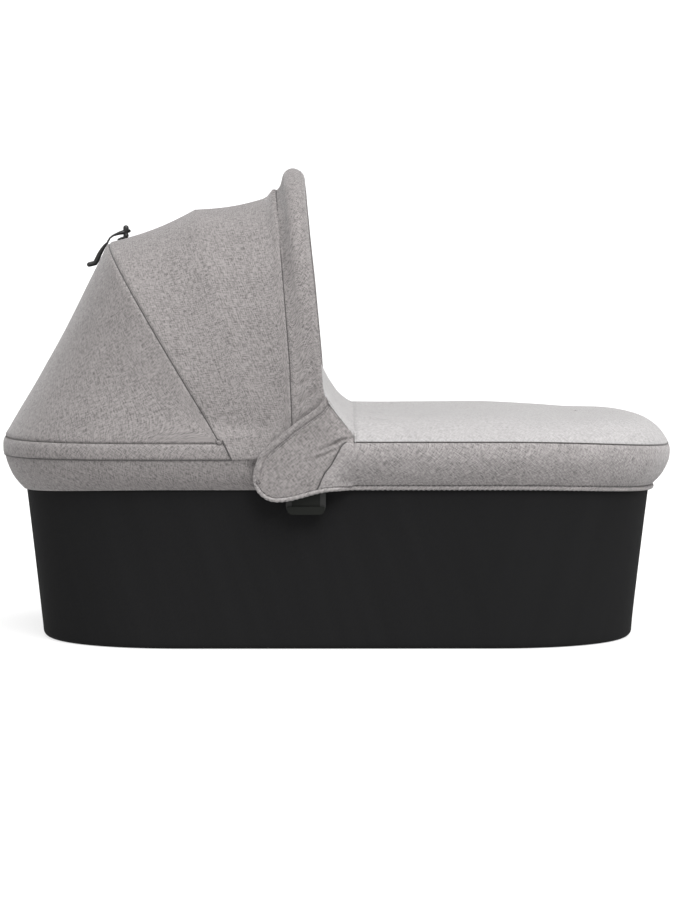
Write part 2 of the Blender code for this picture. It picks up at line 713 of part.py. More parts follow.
def make_housing(side_name, side):
    """Make a side housing: bridge over the rim, tube seats, hinge bore and chassis socket."""
    name = f"side_housing_{side_name}"
    bridge = box_mesh(name, (HOUSING_REAR, HOUSING_INNER, HOUSING_BOTTOM),
                      (HOUSING_FRONT, HOUSING_FACE, HOUSING_TOP), side)
    housing = add_piece(name, bridge, BLACK_PLASTIC)
    bevel(housing, HOUSING_EDGE)
    socket = slanted_box(f"{name}_socket", (SOCKET_REAR, SOCKET_BACK, SOCKET_BOTTOM),
                         (SOCKET_FRONT, SOCKET_OUTER, SOCKET_OVERLAP_TOP), side,
                         (is_lower_corner, SOCKET_CORNER, SOCKET_CORNER_STEPS))
    boolean(housing, add_cutter(f"{name}_socket", socket), "UNION")
    below = SOCKET_BOTTOM - CUT_OVERRUN
    slot = slanted_box(f"{name}_slot", (SOCKET_MIDDLE - SLOT_WIDTH / 2, SLOT_BACK, below),
                       (SOCKET_MIDDLE + SLOT_WIDTH / 2, SLOT_OUTER, SLOT_TOP), side)
    half_recess = LEVER_SHANK_WIDTH / 2 + RUNNING_GAP
    recess = slanted_box(f"{name}_recess", (SOCKET_MIDDLE - half_recess, RECESS_FLOOR, below),
                         (SOCKET_MIDDLE + half_recess, SOCKET_OUTER + CUT_OVERRUN,
                          LEVER_TOP + LEVER_TRAVEL + RUNNING_GAP), side)
    half_nose = NOSE_WIDTH / 2 + RUNNING_GAP
    window = slanted_box(f"{name}_window", (SOCKET_MIDDLE - half_nose, SLOT_BACK + SLOT_THICKNESS / 2,
                                            NOSE_BOTTOM - RUNNING_GAP),
                         (SOCKET_MIDDLE + half_nose, SOCKET_OUTER,
                          NOSE_BOTTOM + NOSE_HEIGHT + LEVER_TRAVEL + RUNNING_GAP), side)
    pocket_offset = SOCKET_OUTER - SPRING_POCKET_WIDTH
    half_pocket = SPRING_POCKET_WIDTH / 2
    pocket = slanted_box(f"{name}_pocket",
                         (SOCKET_MIDDLE - half_pocket, pocket_offset, LEVER_TOP + RUNNING_GAP),
                         (SOCKET_MIDDLE + half_pocket, SOCKET_OUTER + CUT_OVERRUN, SPRING_POCKET_TOP), side)
    stop_middle = slanted(SOCKET_MIDDLE, SLOT_BACK + SLOT_THICKNESS / 2, SLOT_TOP)
    stop_reach = Vector((SLOT_WIDTH / 2 - STOP_INSET, SLOT_THICKNESS / 2 - STOP_INSET, STOP_DEPTH))
    stop = box_mesh(f"{name}_stop", stop_middle - stop_reach, stop_middle + stop_reach, side)
    cuts = {"slot": slot, "stop": stop, "recess": recess, "window": window, "pocket": pocket}
    for label, mesh in cuts.items():
        boolean(housing, add_cutter(f"{name}_{label}", mesh))
    bore_radius = TUBE_RADIUS + TUBE_PLAY
    for label, inner, outer in (("rear", HOUSING_REAR + TUBE_SEAT_DEPTH, HOUSING_REAR - CUT_OVERRUN),
                                ("front", HOUSING_FRONT - TUBE_SEAT_DEPTH, HOUSING_FRONT + CUT_OVERRUN)):
        seat = rod_mesh(f"{name}_seat_{label}", (inner, side * TUBE_Y, TUBE_HEIGHT),
                        (outer, side * TUBE_Y, TUBE_HEIGHT), bore_radius, BORE_SIDES)
        boolean(housing, add_cutter(f"{name}_seat_{label}", seat))
    hub = rod_mesh(f"{name}_hub", (HUB_X, side * (HOUSING_FACE - PIN_DEPTH), HUB_Z),
                   (HUB_X, side * (HOUSING_FACE + CUT_OVERRUN), HUB_Z), PIN_RADIUS + RUNNING_GAP, BORE_SIDES)
    boolean(housing, add_cutter(f"{name}_hub", hub))
    for label, x in screw_places():
        hole = rod_mesh(f"{name}_screw_{label}", (x, side * (HOUSING_INNER - CUT_OVERRUN), TUBE_HEIGHT),
                        (x, side * TUBE_Y, TUBE_HEIGHT), SCREW_RADIUS + FIT, TURNED_STEPS // 2)
        boolean(housing, add_cutter(f"{name}_screw_{label}", hole))
    return housing


def screw_places():
    """Give the names and x of the screws that hold the tube ends in a housing."""
    return (("rear", HOUSING_REAR + SCREW_INSET), ("front", HOUSING_FRONT - SCREW_INSET))


def make_screws(side_name, side):
    """Make the screws that go in from the housing's inner face to the tube ends."""
    tip = TUBE_Y - TUBE_RADIUS - FIT
    profile = ((0, 0), (SCREW_HEAD_RADIUS, 0), (SCREW_HEAD_RADIUS, SCREW_HEAD - FIT),
               (SCREW_RADIUS, SCREW_HEAD), (SCREW_RADIUS, SCREW_HEAD + tip - HOUSING_INNER - FIT),
               (0, SCREW_HEAD + tip - HOUSING_INNER))
    for label, x in screw_places():
        place = (x, side * (HOUSING_INNER - FIT - SCREW_HEAD), TUBE_HEIGHT)
        turned_piece(f"housing_screw_{side_name}_{label}", profile, place, side, STEEL)


def make_lever(side_name, side, joint):
    """Make the release lever: finger lip below, shank in the recess and the nose in the slot."""
    name = f"release_lever_{side_name}"
    back = RECESS_FLOOR + RUNNING_GAP
    middle = back + LEVER_SHANK / 2
    half = LEVER_SHANK_WIDTH / 2
    shank = slanted_box(name, (SOCKET_MIDDLE - half, back, LEVER_LIP_BOTTOM),
                        (SOCKET_MIDDLE + half, back + LEVER_SHANK, LEVER_TOP), side)
    lever = add_piece(name, shank, GREY_PLASTIC)
    lip_top = LEVER_LIP_BOTTOM + LEVER_LIP_HEIGHT
    lip_inset = LEVER_LIP_ROUND / 4
    lip = slanted_box(f"{name}_lip",
                      (SOCKET_REAR + lip_inset, SOCKET_OUTER + RUNNING_GAP, LEVER_LIP_BOTTOM - FIT),
                      (SOCKET_FRONT - lip_inset, SOCKET_OUTER + LEVER_LIP_PROUD, lip_top), side,
                      (is_lower_corner, LEVER_LIP_ROUND, SOCKET_CORNER_STEPS))
    neck_half = half - RUNNING_GAP
    neck = slanted_box(f"{name}_neck", (SOCKET_MIDDLE - neck_half, middle, LEVER_LIP_BOTTOM + FIT),
                       (SOCKET_MIDDLE + neck_half, SOCKET_OUTER + LEVER_LIP_PROUD / 2, lip_top - FIT), side)
    nose = slanted_box(f"{name}_nose", (SOCKET_MIDDLE - NOSE_WIDTH / 2, SLOT_OUTER - NOSE_REACH, NOSE_BOTTOM),
                       (SOCKET_MIDDLE + NOSE_WIDTH / 2, middle, NOSE_BOTTOM + NOSE_HEIGHT), side)
    for label, mesh in {"lip": lip, "neck": neck, "nose": nose}.items():
        boolean(lever, add_cutter(f"{name}_{label}", mesh), "UNION")
    ride(lever, joint)
    return lever


def make_lever_spring(side_name, side, joint):
    """Make the coil spring that pushes a release lever down, from its helix."""
    low = LEVER_TOP + SPRING_WIRE_RADIUS + FIT
    high = SPRING_POCKET_TOP - SPRING_WIRE_RADIUS - FIT
    pitch = (high - low) / SPRING_TURNS
    offset = SOCKET_OUTER - SPRING_POCKET_WIDTH / 2
    points = []
    for step in range(SPRING_TURNS * SPRING_POINTS_A_TURN + 1):
        angle = 2 * pi * step / SPRING_POINTS_A_TURN
        height = low + (high - low) * step / (SPRING_TURNS * SPRING_POINTS_A_TURN)
        x = SOCKET_MIDDLE + SPRING_RADIUS * cos(angle)
        point = slanted(x, offset + SPRING_RADIUS * sin(angle), height)
        points.append(Vector((point.x, side * point.y, point.z)))
    name = f"lever_spring_{side_name}"
    print(name, "least gap between its curls, in mm:", round((pitch - 2 * SPRING_WIRE_RADIUS) * 1000, 2))
    spring = add_piece(name, tube_curve(name, points, SPRING_WIRE_RADIUS, 1), STEEL)
    ride(spring, joint)
    return spring


class Bow(NamedTuple):
    """One hood bow: where its arm bends, where its top is, and its distance from the middle plane."""

    elbow: Vector
    apex: Vector
    span: float

    def up(self):
        """Give the direction in the bow's plane from the elbow to the apex."""
        return (self.apex - self.elbow).normalized()

    def across(self):
        """Give the bow plane's normal, towards the foot end."""
        up = self.up()
        return Vector((up.z, 0, -up.x))

    def point(self, turn):
        """Give the bow's centre line at a turn from 0, the left elbow, to pi, the right elbow."""
        power = 2 / BOW_ROUNDNESS
        height = (self.apex - self.elbow).length
        rise = height * abs(sin(turn)) ** power
        side = -copysign(self.span * abs(cos(turn)) ** power, cos(turn))
        return self.elbow + self.up() * rise + Vector((0, side, 0))

    def outward(self, turn):
        """Give the outward direction square to the bow's line, in its plane."""
        height = (self.apex - self.elbow).length
        power = 2 / BOW_ROUNDNESS
        rise = abs(sin(turn)) ** (2 - power) / height
        side = -copysign(abs(cos(turn)) ** (2 - power) / self.span, cos(turn))
        return (self.up() * rise + Vector((0, side, 0))).normalized()


EYE_PITCH = EYE + RUNNING_GAP
REAR_SPAN = HOUSING_FACE + RUNNING_GAP + EYE / 2
MID_ELBOW_BACK = MID_APEX_BACK * MID_ELBOW_RISE / MID_APEX_RISE


def bow_from_hub(elbow_back, elbow_rise, apex_back, apex_rise, span):
    """Make a bow from the places of its elbow and apex behind and above the hinge."""
    elbow = Vector((HUB_X - elbow_back, 0, HUB_Z + elbow_rise))
    apex = Vector((HUB_X - apex_back, 0, HUB_Z + apex_rise))
    return Bow(elbow, apex, span)


REAR_BOW = bow_from_hub(REAR_ELBOW_BACK, REAR_ELBOW_RISE, REAR_APEX_BACK, REAR_APEX_RISE, REAR_SPAN)
MID_BOW = bow_from_hub(MID_ELBOW_BACK, MID_ELBOW_RISE, MID_APEX_BACK, MID_APEX_RISE,
                       REAR_SPAN + EYE_PITCH)
FRONT_BOW = bow_from_hub(-FRONT_ELBOW_AHEAD, FRONT_ELBOW_RISE, -FRONT_APEX_AHEAD, FRONT_APEX_RISE,
                         REAR_SPAN + 2 * EYE_PITCH)
PIN_END = FRONT_BOW.span + EYE / 2 + RUNNING_GAP
CAP_END = PIN_END + PIN_HEAD + FIT + CAP_WALL
LEVER_OUTER = wall_half_width(LEVER_TOP) + SOCKET_OUTER + LEVER_LIP_PROUD
WING_OUTER = max(CAP_END + WING_CAP_CLEARANCE, LEVER_OUTER + FIT) + WING_CLOTH
COLLAR_END_WIDTH = WING_OUTER - COLLAR_DRAW


def make_bow(name, bow, joint):
    """Make a bow: one strip from hub to hub, with an eye on the pin at each end."""
    hub = Vector((HUB_X, 0, HUB_Z))
    arm = (bow.elbow - hub).normalized()
    arm_across = Vector((arm.z, 0, -arm.x))
    side = Vector((0, bow.span, 0))
    path = [hub - side]
    wides = [arm_across]
    thins = [Vector((0, -1, 0))]
    for step in range(BOW_STEPS + 1):
        turn = pi * step / BOW_STEPS
        path.append(bow.point(turn))
        wides.append(bow.across())
        thins.append(bow.outward(turn))
    bend = (arm_across + bow.across()).normalized()
    wides[1] = bend
    wides[-1] = bend
    path.append(hub + side)
    wides.append(arm_across)
    thins.append(Vector((0, 1, 0)))
    rows = strip_rows(path, wides, thins, STRIP_WIDTH, STRIP)
    mesh = skin(name, rows, wrap=True, cap_first=True, cap_last=True)
    piece = add_piece(name, mesh, BLACK_PLASTIC)
    for side_name, sign in SIDES.items():
        inner = (HUB_X, sign * (bow.span - EYE / 2), HUB_Z)
        outer = (HUB_X, sign * (bow.span + EYE / 2), HUB_Z)
        eye = rod_mesh(f"{name}_eye_{side_name}", inner, outer, EYE_RADIUS, TURNED_STEPS)
        boolean(piece, add_cutter(f"{name}_eye_{side_name}", eye), "UNION")
    reach = bow.span + EYE + CUT_OVERRUN
    bore = rod_mesh(f"{name}_bore", (HUB_X, -reach, HUB_Z), (HUB_X, reach, HUB_Z),
                    PIN_RADIUS + RUNNING_GAP, BORE_SIDES)
    boolean(piece, add_cutter(f"{name}_bore", bore))
    ride(piece, joint)
    return piece


def make_hub(side_name, side):
    """Make a hinge pin with its head, and the cap over it."""
    start = HOUSING_FACE - PIN_DEPTH + FIT
    shank = PIN_END - start
    pin = ((0, 0), (PIN_RADIUS - FIT, 0), (PIN_RADIUS, FIT), (PIN_RADIUS, shank),
           (PIN_HEAD_RADIUS, shank), (PIN_HEAD_RADIUS, shank + PIN_HEAD), (0, shank + PIN_HEAD))
    turned_piece(f"hub_pin_{side_name}", pin, (HUB_X, side * start, HUB_Z), side, STEEL)
    inner = PIN_HEAD_RADIUS + FIT
    head = PIN_HEAD + FIT
    outer = head + CAP_WALL
    cap = ((0, head), (inner, head), (inner, 0), (CAP_RADIUS, 0), (CAP_RADIUS, outer - CAP_DOME / 2),
           (CAP_RADIUS - CAP_DOME, outer), (0, outer))
    turned_piece(f"hub_cap_{side_name}", cap, (HUB_X, side * PIN_END, HUB_Z), side, BLACK_PLASTIC)


def band_offset(share, stand=BAND_HEM_STAND, bulge=BAND_BULGE):
    """Give how far a band stands out from the wall at a share of its height."""
    return stand + (bulge - stand) * read_curve(BAND_SHAPE_SHARES, share)


def end_weight(station):
    """Give 1 at the tip of an end and 0 on the straight sides."""
    return cos(station.turn) ** 2


def band_point(station, share):
    """Give a point on the outside of the head band at a share of its height."""
    weight = end_weight(station)
    hem = BAND_SIDE_HEM + (BAND_END_HEM - BAND_SIDE_HEM) * weight
    seam = BAND_SIDE_SEAM + (BAND_REAR_SEAM - BAND_SIDE_SEAM) * weight
    bulge = BAND_BULGE - BAND_TUCK * smoothstep(station.x, BAND_FRONT - BAND_TUCK_LENGTH, BAND_FRONT)
    return wall_point(station, hem + (seam - hem) * share, band_offset(share, bulge=bulge))


def make_hood_band():
    """Make the cloth band that hugs the tub's head end under the hood."""
    rows = []
    for share, _ in BAND_SHAPE_SHARES:
        reach = smoothstep(share, BAND_TOP_REACH_SHARE, 1.0)
        front = BAND_FRONT + (BAND_TOP_FRONT - BAND_FRONT) * reach
        rows.append([band_point(s, share) for s in end_stations(front, -1, 3)])
    band = add_piece("hood_band", skin("hood_band", rows), MELANGE_DARK)
    thicken(band, BAND_CLOTH)
    return band


def over_bow(bow, rise, shift, feet=(), flare=0.0):
    """Give a line of cloth over a bow, with points at the feet's heights added at both ends.

    The cloth is raised off the bow's outer face and shifted along the bow plane's normal. Its
    feet flare outwards to the band below them.
    """
    line = resample(bow_line(bow, rise, shift, CANOPY_FOOT_Z + FOOT_RISE), CANOPY_COLUMNS + 1)
    ends = [bow_line(bow, rise, shift, height) for height in feet]
    line = [end[0] for end in ends] + line + [end[-1] for end in reversed(ends)]
    for point in line:
        fade = smoothstep(point.z, CANOPY_FOOT_Z + SEAM_LAND, CANOPY_FOOT_Z + FLARE_HEIGHT)
        point.y += copysign(flare * (1 - fade), point.y)
    return line


def bow_line(bow, rise, shift, foot_z):
    """Give a fine line of points over a bow that starts and ends at a foot height."""
    steps = 4 * BOW_STEPS
    line = []
    for step in range(steps + 1):
        turn = pi * step / steps
        line.append(bow.point(turn) + bow.outward(turn) * (rise + STRIP / 2) + bow.across() * shift)
    if line[0].z > foot_z:
        drop = bow.up() * ((line[0].z - foot_z) / bow.up().z)
        return [line[0] - drop] + line + [line[-1] - drop]
    share = (foot_z - line[0].z) / (line[1].z - line[0].z)
    line[0] = line[0].lerp(line[1], share)
    line[-1] = line[-1].lerp(line[-2], share)
    return line


def make_canopy_rear():
    """Make the hood's rear panel, from the head band up to the rear bow."""
    rise = REAR_COVER_RISE + CLOTH
    crest = over_bow(REAR_BOW, rise, -FIT / 2, flare=REAR_FLARE)
    land = over_bow(REAR_BOW, rise, -SEAM_LAND, flare=REAR_FLARE)
    for index, edge in enumerate(crest):
        inner = min(index, CANOPY_COLUMNS - index) / LAND_FADE_COLUMNS
        land[index] = edge.lerp(land[index], min(LAND_FOOT_SHARE + inner, 1.0))
    seam = [band_point(s, 1.0) for s in reversed(end_stations(REAR_BOW.elbow.x - SEAM_LAND, -1, 1))]
    seam = resample(seam, CANOPY_COLUMNS + 1)
    low = [point + Vector((0, 0, FIT)) for point in seam]
    ledge = [point + Vector((0, 0, SEAM_LAND)) for point in seam]
    rows = [low] + blend_rows(ledge, land, CANOPY_REAR_ROWS, CANOPY_SAG) + [crest]
    canopy = add_piece("canopy_rear", skin("canopy_rear", [list(reversed(row)) for row in rows]), MELANGE)
    thicken(canopy, CLOTH)
    return canopy


def blend_rows(first, second, count, sag):
    """Give rows of points between two lines, drawn in a little halfway towards the hub."""
    rows = []
    for row in range(count + 1):
        share = row / count
        line = []
        for index, (low, high) in enumerate(zip(first, second)):
            middle = sin(pi * index / (len(first) - 1))
            point = low.lerp(high, share)
            pull = Vector((point.x - HUB_X, point.y, point.z - HUB_Z)).normalized()
            line.append(point - pull * sag * sin(pi * share) * middle)
        rows.append(line)
    return rows


def make_canopy_front(joint):
    """Make the hood's front panel: over the rear bow, the middle bow and up to the front bow."""
    feet = (CANOPY_FOOT_Z, CANOPY_FOOT_Z + SEAM_LAND)
    rear = over_bow(REAR_BOW, REAR_COVER_RISE + CLOTH, FIT / 2, feet, REAR_FLARE)
    land = over_bow(REAR_BOW, REAR_COVER_RISE + CLOTH, SEAM_LAND, feet, REAR_FLARE)
    middle = over_bow(MID_BOW, MID_COVER_RISE + CLOTH, 0, feet, MID_FLARE)
    ledge = over_bow(FRONT_BOW, FRONT_COVER_RISE + CLOTH, -SEAM_LAND, feet)
    front = over_bow(FRONT_BOW, FRONT_COVER_RISE + CLOTH, -FIT / 2, feet)
    rows = [rear] + blend_rows(land, middle, CANOPY_FRONT_ROWS, CANOPY_FRONT_SAG)
    rows += blend_rows(middle, ledge, CANOPY_FRONT_ROWS, CANOPY_FRONT_SAG)[1:] + [front]
    canopy = add_piece("canopy_front", skin("canopy_front", list(reversed(rows))), MELANGE)
    thicken(canopy, CLOTH)
    ride(canopy, joint)
    return canopy


def visor_profile(peak, share):
    """Give how far ahead and outward the visor reaches at a share of its depth, by how peaked it is."""
    side_length = (VISOR_DEPTH - SEAM_LAND) * share
    ahead, outward = cos(VISOR_SIDE_ANGLE) * side_length, sin(VISOR_SIDE_ANGLE) * side_length
    length = (VISOR_PEAK_DEPTH - SEAM_LAND) * share / VISOR_PROFILE_STEPS
    peak_ahead = peak_outward = 0.0
    for step in range(VISOR_PROFILE_STEPS):
        place = share * (step + 0.5) / VISOR_PROFILE_STEPS
        bend = max(place - VISOR_BEND_SHARE, 0) / (1 - VISOR_BEND_SHARE)
        angle = VISOR_PEAK_ANGLE - VISOR_PEAK_TURN * bend
        peak_ahead += cos(angle) * length
        peak_outward += sin(angle) * length
    return ahead + (peak_ahead - ahead) * peak, outward + (peak_outward - outward) * peak


def visor_lines():
    """Give the visor's rows, from its seam on the front bow to its free edge."""
    cover = FRONT_COVER_RISE + CLOTH
    rows = [over_bow(FRONT_BOW, cover, FIT / 2, (VISOR_FOOT_Z,))]
    land = over_bow(FRONT_BOW, cover, SEAM_LAND, (VISOR_FOOT_Z,))
    last = len(land) - 1
    for row in range(VISOR_ROWS + 1):
        share = row / VISOR_ROWS
        line = []
        for index, point in enumerate(land):
            peak = sin(pi * index / last) ** 3
            ahead, rise = visor_profile(peak, share)
            before, after = land[max(index - 1, 0)], land[min(index + 1, last)]
            outward = Vector((1, 0, 0)).cross(after - before).normalized()
            line.append(point + Vector((ahead, 0, 0)) + outward * rise)
        rows.append(line)
    return rows


def make_visor(joint):
    """Make the visor on the front bow, peaked at its top, and the wire in its free edge."""
    rows = visor_lines()
    visor = add_piece("visor", skin("visor", list(reversed(rows))), MELANGE)
    thicken(visor, CLOTH)
    ride(visor, joint)
    edge = rows[-1]
    points = []
    for index, (point, behind) in enumerate(zip(edge, rows[-2])):
        ahead = (point - behind).normalized()
        along = edge[min(index + 1, len(edge) - 1)] - edge[max(index - 1, 0)]
        outward = ahead.cross(along).normalized()
        points.append(point + ahead * (WIRE_RADIUS + WIRE_CLEARANCE) - outward * CLOTH / 2)
    wire = add_piece("visor_wire", tube_curve("visor_wire", points, WIRE_RADIUS, 1), BLACK_PLASTIC)
    ride(wire, joint)
    return visor


def apron_levels(station):
    """Give the apron's hem and seam heights at a station."""
    weight = end_weight(station)
    hem = APRON_SIDE_HEM + (APRON_TIP_HEM - APRON_SIDE_HEM) * weight
    seam = APRON_SIDE_SEAM + (APRON_TIP_SEAM - APRON_SIDE_SEAM) * weight
    return hem + 2 * PIPING_RADIUS + FIT, seam


def apron_band_point(station, share):
    """Give a point on the outside of the apron's side band at a share of its height."""
    hem, seam = apron_levels(station)
    return wall_point(station, hem + (seam - hem) * share, band_offset(share))


def band_profile_y(x, z):
    """Give the outside of the apron's side band on the straight side, at an x and height."""
    station = Station(x, 1, pi / 2)
    hem, seam = apron_levels(station)
    share = min(max((z - hem) / (seam - hem), 0.0), 1.0)
    return wall_half_width(z) + band_offset(share)


def dome_rise(distance, reach=APRON_DOME_REACH):
    """Give the share of the crown's height reached at a distance in from the seam."""
    return 1 - exp(-distance / reach)


def apron_stations():
    """Give the apron's stations round the foot end."""
    return end_stations(APRON_START, 1, APRON_SIDE_STEPS)


def apron_dome_point(station, share):
    """Give a point of the apron's top at a share of the way in from the seam to the spine."""
    edge = apron_band_point(station, 1.0)
    to_tip = smoothstep(edge.x, STRAIGHT_HALF_LENGTH, RIM_HALF_LENGTH)
    spine_x = min(edge.x, STRAIGHT_HALF_LENGTH + (APRON_SPINE_END - STRAIGHT_HALF_LENGTH) * to_tip)
    reach = APRON_DOME_REACH + (APRON_TIP_REACH - APRON_DOME_REACH) * to_tip
    spine = Vector((spine_x, 0, edge.z))
    point = edge.lerp(spine, share)
    distance = (point - edge).length
    tip = smoothstep(point.x, STRAIGHT_HALF_LENGTH, APRON_SPINE_END)
    crown = APRON_CROWN + (APRON_TIP_LEVEL - APRON_CROWN) * tip
    point.z = edge.z + (crown - edge.z) * dome_rise(distance, reach)
    return point


def make_apron_cover(joint):
    """Make the apron: the upper part of its side band and its domed top, made as a mirrored half."""
    stations = [s for s in apron_stations() if s.turn <= 0]
    shares = [APRON_SPLIT_SHARE] + [share for share, _ in BAND_SHAPE_SHARES if share > APRON_SPLIT_SHARE]
    rows = [[apron_band_point(s, share) for s in stations] for share in shares]
    rows += [[apron_dome_point(s, share) for s in stations] for share in APRON_ROW_SHARES]
    for row in rows:
        row[-1].y = 0.0
    for point in rows[-1]:
        point.y = 0.0
    apron = add_piece("apron_cover", skin("apron_cover", rows), MELANGE)
    mirror = apron.modifiers.new("both_sides", "MIRROR")
    mirror.use_axis = (False, True, False)
    mirror.merge_threshold = MERGE_DISTANCE
    thicken(apron, APRON_CLOTH)
    ride(apron, joint)
    return apron


def make_apron_skirt(joint):
    """Make the apron's elastic lower edge, which grips the tub below the rim."""
    shares = [share for share, _ in BAND_SHAPE_SHARES if share < APRON_SPLIT_SHARE]
    stations = apron_stations()
    rows = [[apron_band_point(s, share) for s in stations] for share in shares]
    rows.append([apron_band_point(s, APRON_SPLIT_SHARE) - Vector((0, 0, SKIRT_GAP)) for s in stations])
    skirt = add_piece("apron_skirt", skin("apron_skirt", rows), MELANGE)
    thicken(skirt, APRON_CLOTH)
    ride(skirt, joint)
    return skirt


def bezier(corners, share):
    """Give the x and height of a cubic curve at a share of its length parameter."""
    rest = 1 - share
    weights = (rest ** 3, 3 * rest ** 2 * share, 3 * rest * share ** 2, share ** 3)
    x = sum(weight * corner[0] for weight, corner in zip(weights, corners))
    z = sum(weight * corner[1] for weight, corner in zip(weights, corners))
    return x, z


def placed_curve(shares, x, z, reach, rise):
    """Place a curve given as shares of a reach and a rise from its start."""
    return tuple((x + along * reach, z + up * rise) for along, up in shares)


COLLAR_X = APRON_START - FIT
COLLAR_MIDDLE_CURVE = placed_curve(COLLAR_SHARES, COLLAR_X, APRON_CROWN, -COLLAR_BACK, COLLAR_RISE)
COLLAR_SIDE_CURVE = placed_curve(COLLAR_SIDE_SHARES, COLLAR_X, APRON_SIDE_SEAM,
                                 -COLLAR_SIDE_BACK, COLLAR_SIDE_RISE)
WING_REAR = WING_LOBE_X - WING_LOBE_RADIUS
WING_CUFF_LINE = placed_curve(WING_CUFF_SHARES, WING_REAR, WING_LOBE_Z,
                              COLLAR_SIDE_CURVE[-1][0] - WING_REAR,
                              COLLAR_SIDE_CURVE[-1][1] - WING_LOBE_Z)


def make_collar(joint):
    """Make the raised collar across the hood end of the apron, inside the wings and the visor."""
    rows = []
    for row in range(COLLAR_ROWS + 1):
        share = row / COLLAR_ROWS
        side_x, side_z = bezier(COLLAR_SIDE_CURVE, share)
        middle_x, middle_z = bezier(COLLAR_MIDDLE_CURVE, share)
        half = wing_outer(side_x, side_z) - WING_CLOTH - 2 * FIT
        line = []
        for column in range(COLLAR_COLUMNS + 1):
            y = -half * cos(pi * column / COLLAR_COLUMNS)
            inner = half + (COLLAR_END_WIDTH - half) * share
            middle = dome_rise(max(inner - abs(y), 0))
            x = side_x + (middle_x - side_x) * middle
            z = side_z + (middle_z - side_z) * middle
            line.append(Vector((x, y, z)))
        rows.append(line)
    collar = add_piece("apron_collar", skin("apron_collar", rows), MELANGE)
    thicken(collar, APRON_CLOTH)
    ride(collar, joint)
    return collar


def wing_edge(x):
    """Give the height of a wing's outer lower edge, piping included, at an x."""
    reach = x - WING_LOBE_X
    low = WING_LOBE_Z - sqrt(max(WING_LOBE_RADIUS ** 2 - min(reach, 0) ** 2, 0))
    hem = apron_levels(Station(x, 1, pi / 2))[0] - 2 * PIPING_RADIUS - FIT
    if reach > 0:
        low += (hem - low) * smoothstep(x, WING_LOBE_X, WING_HEM_LEVEL_X)
    return low


def wing_cloth_edge(x):
    """Give the height of a wing's cloth edge, just above its piping, at an x."""
    if x > WING_LOBE_X:
        return wing_edge(x) + WING_PIPED
    lobe = WING_LOBE_RADIUS - WING_PIPED
    return WING_LOBE_Z - sqrt(max(lobe ** 2 - (x - WING_LOBE_X) ** 2, 0))


def wing_top(x):
    """Give the height of a wing's top edge: its cuff, then the collar's side."""
    if x <= WING_CUFF_LINE[-1][0]:
        return read_curve(WING_CUFF_LINE, x)
    low, high = 0.0, 1.0
    for _ in range(ARC_STEPS * 2):
        share = (low + high) / 2
        if bezier(COLLAR_SIDE_CURVE, share)[0] > x:
            low = share
        else:
            high = share
    return bezier(COLLAR_SIDE_CURVE, low)[1]


def wing_outer(x, z):
    """Give a wing's outer distance from the middle plane: it meets the apron's band at its front."""
    low = wing_edge(x)
    tucked = WING_OUTER - WING_TUCK * (1 - smoothstep(z, low, low + WING_TUCK_HEIGHT))
    joined = smoothstep(x, WING_BLEND_START, APRON_START)
    front = max(band_profile_y(x, z), RIM_HALF_WIDTH + WING_CLOTH + 4 * FIT)
    return tucked + (front - tucked) * joined


def make_wing(side_name, side, joint):
    """Make the flap that wraps from the apron over the hood hinge, with its round lobe."""
    rows = []
    rear = WING_LOBE_X - WING_LOBE_RADIUS + WING_PIPED
    for row in range(WING_ROWS + 1):
        line = []
        for column in range(WING_COLUMNS + 1):
            x = rear + (WING_FRONT - rear) * (column / WING_COLUMNS) ** WING_CROWDING
            low, high = wing_cloth_edge(x), wing_top(x)
            z = low + (high - low) * row / WING_ROWS
            line.append(Vector((x, side * wing_outer(x, z), z)))
        rows.append(line if side < 0 else list(reversed(line)))
    wing = add_piece(f"wing_flap_{side_name}", skin(f"wing_flap_{side_name}", rows), MELANGE)
    thicken(wing, WING_CLOTH)
    ride(wing, joint)
    return wing


def piping_wing_points():
    """Give the piping's line under a wing, from the lobe's rearmost point to the apron's side."""
    points = []
    lobe = WING_LOBE_RADIUS - PIPING_RADIUS
    for step in range(PIPING_LOBE_STEPS):
        turn = pi / 2 * step / PIPING_LOBE_STEPS
        points.append((WING_LOBE_X - lobe * cos(turn), WING_LOBE_Z - lobe * sin(turn)))
    for step in range(PIPING_HEM_STEPS):
        x = WING_LOBE_X + (APRON_START - WING_LOBE_X) * step / PIPING_HEM_STEPS
        points.append((x, wing_edge(x) + PIPING_RADIUS))
    line = []
    for x, z in points:
        joined = smoothstep(x, WING_BLEND_START, APRON_START)
        under_wing = WING_OUTER - WING_TUCK - WING_CLOTH / 2
        by_wall = wall_half_width(z) + PIPING_RADIUS + FIT
        line.append(Vector((x, under_wing + (by_wall - under_wing) * joined, z)))
    return line


def piping_points():
    """Give the piping's line: under one wing, along the apron's hem round the foot, and back."""
    hem_line = []
    for station in apron_stations():
        hem, _ = apron_levels(station)
        hem_line.append(wall_point(station, hem - PIPING_RADIUS - FIT, PIPING_RADIUS + FIT))
    wing_line = piping_wing_points()
    mirrored = [Vector((point.x, -point.y, point.z)) for point in wing_line]
    return mirrored + hem_line + list(reversed(wing_line))


def make_piping(joint):
    """Make the piping along the apron's hem."""
    piping = add_piece("apron_piping", tube_curve("apron_piping", piping_points(), PIPING_RADIUS, 1), MELANGE)
    ride(piping, joint)
    return piping


def strap_frames():
    """Give the vent strap's centre line, thickness and outward direction, over the rear bow's top."""
    apex = REAR_BOW.apex + REAR_BOW.up() * (REAR_COVER_RISE + CLOTH + STRIP / 2)
    front = (MID_BOW.apex - REAR_BOW.apex).normalized()
    base = band_point(Station(-STRAIGHT_HALF_LENGTH, -1, 0), 1.0)
    back = (base - apex).normalized()
    return apex, front, back


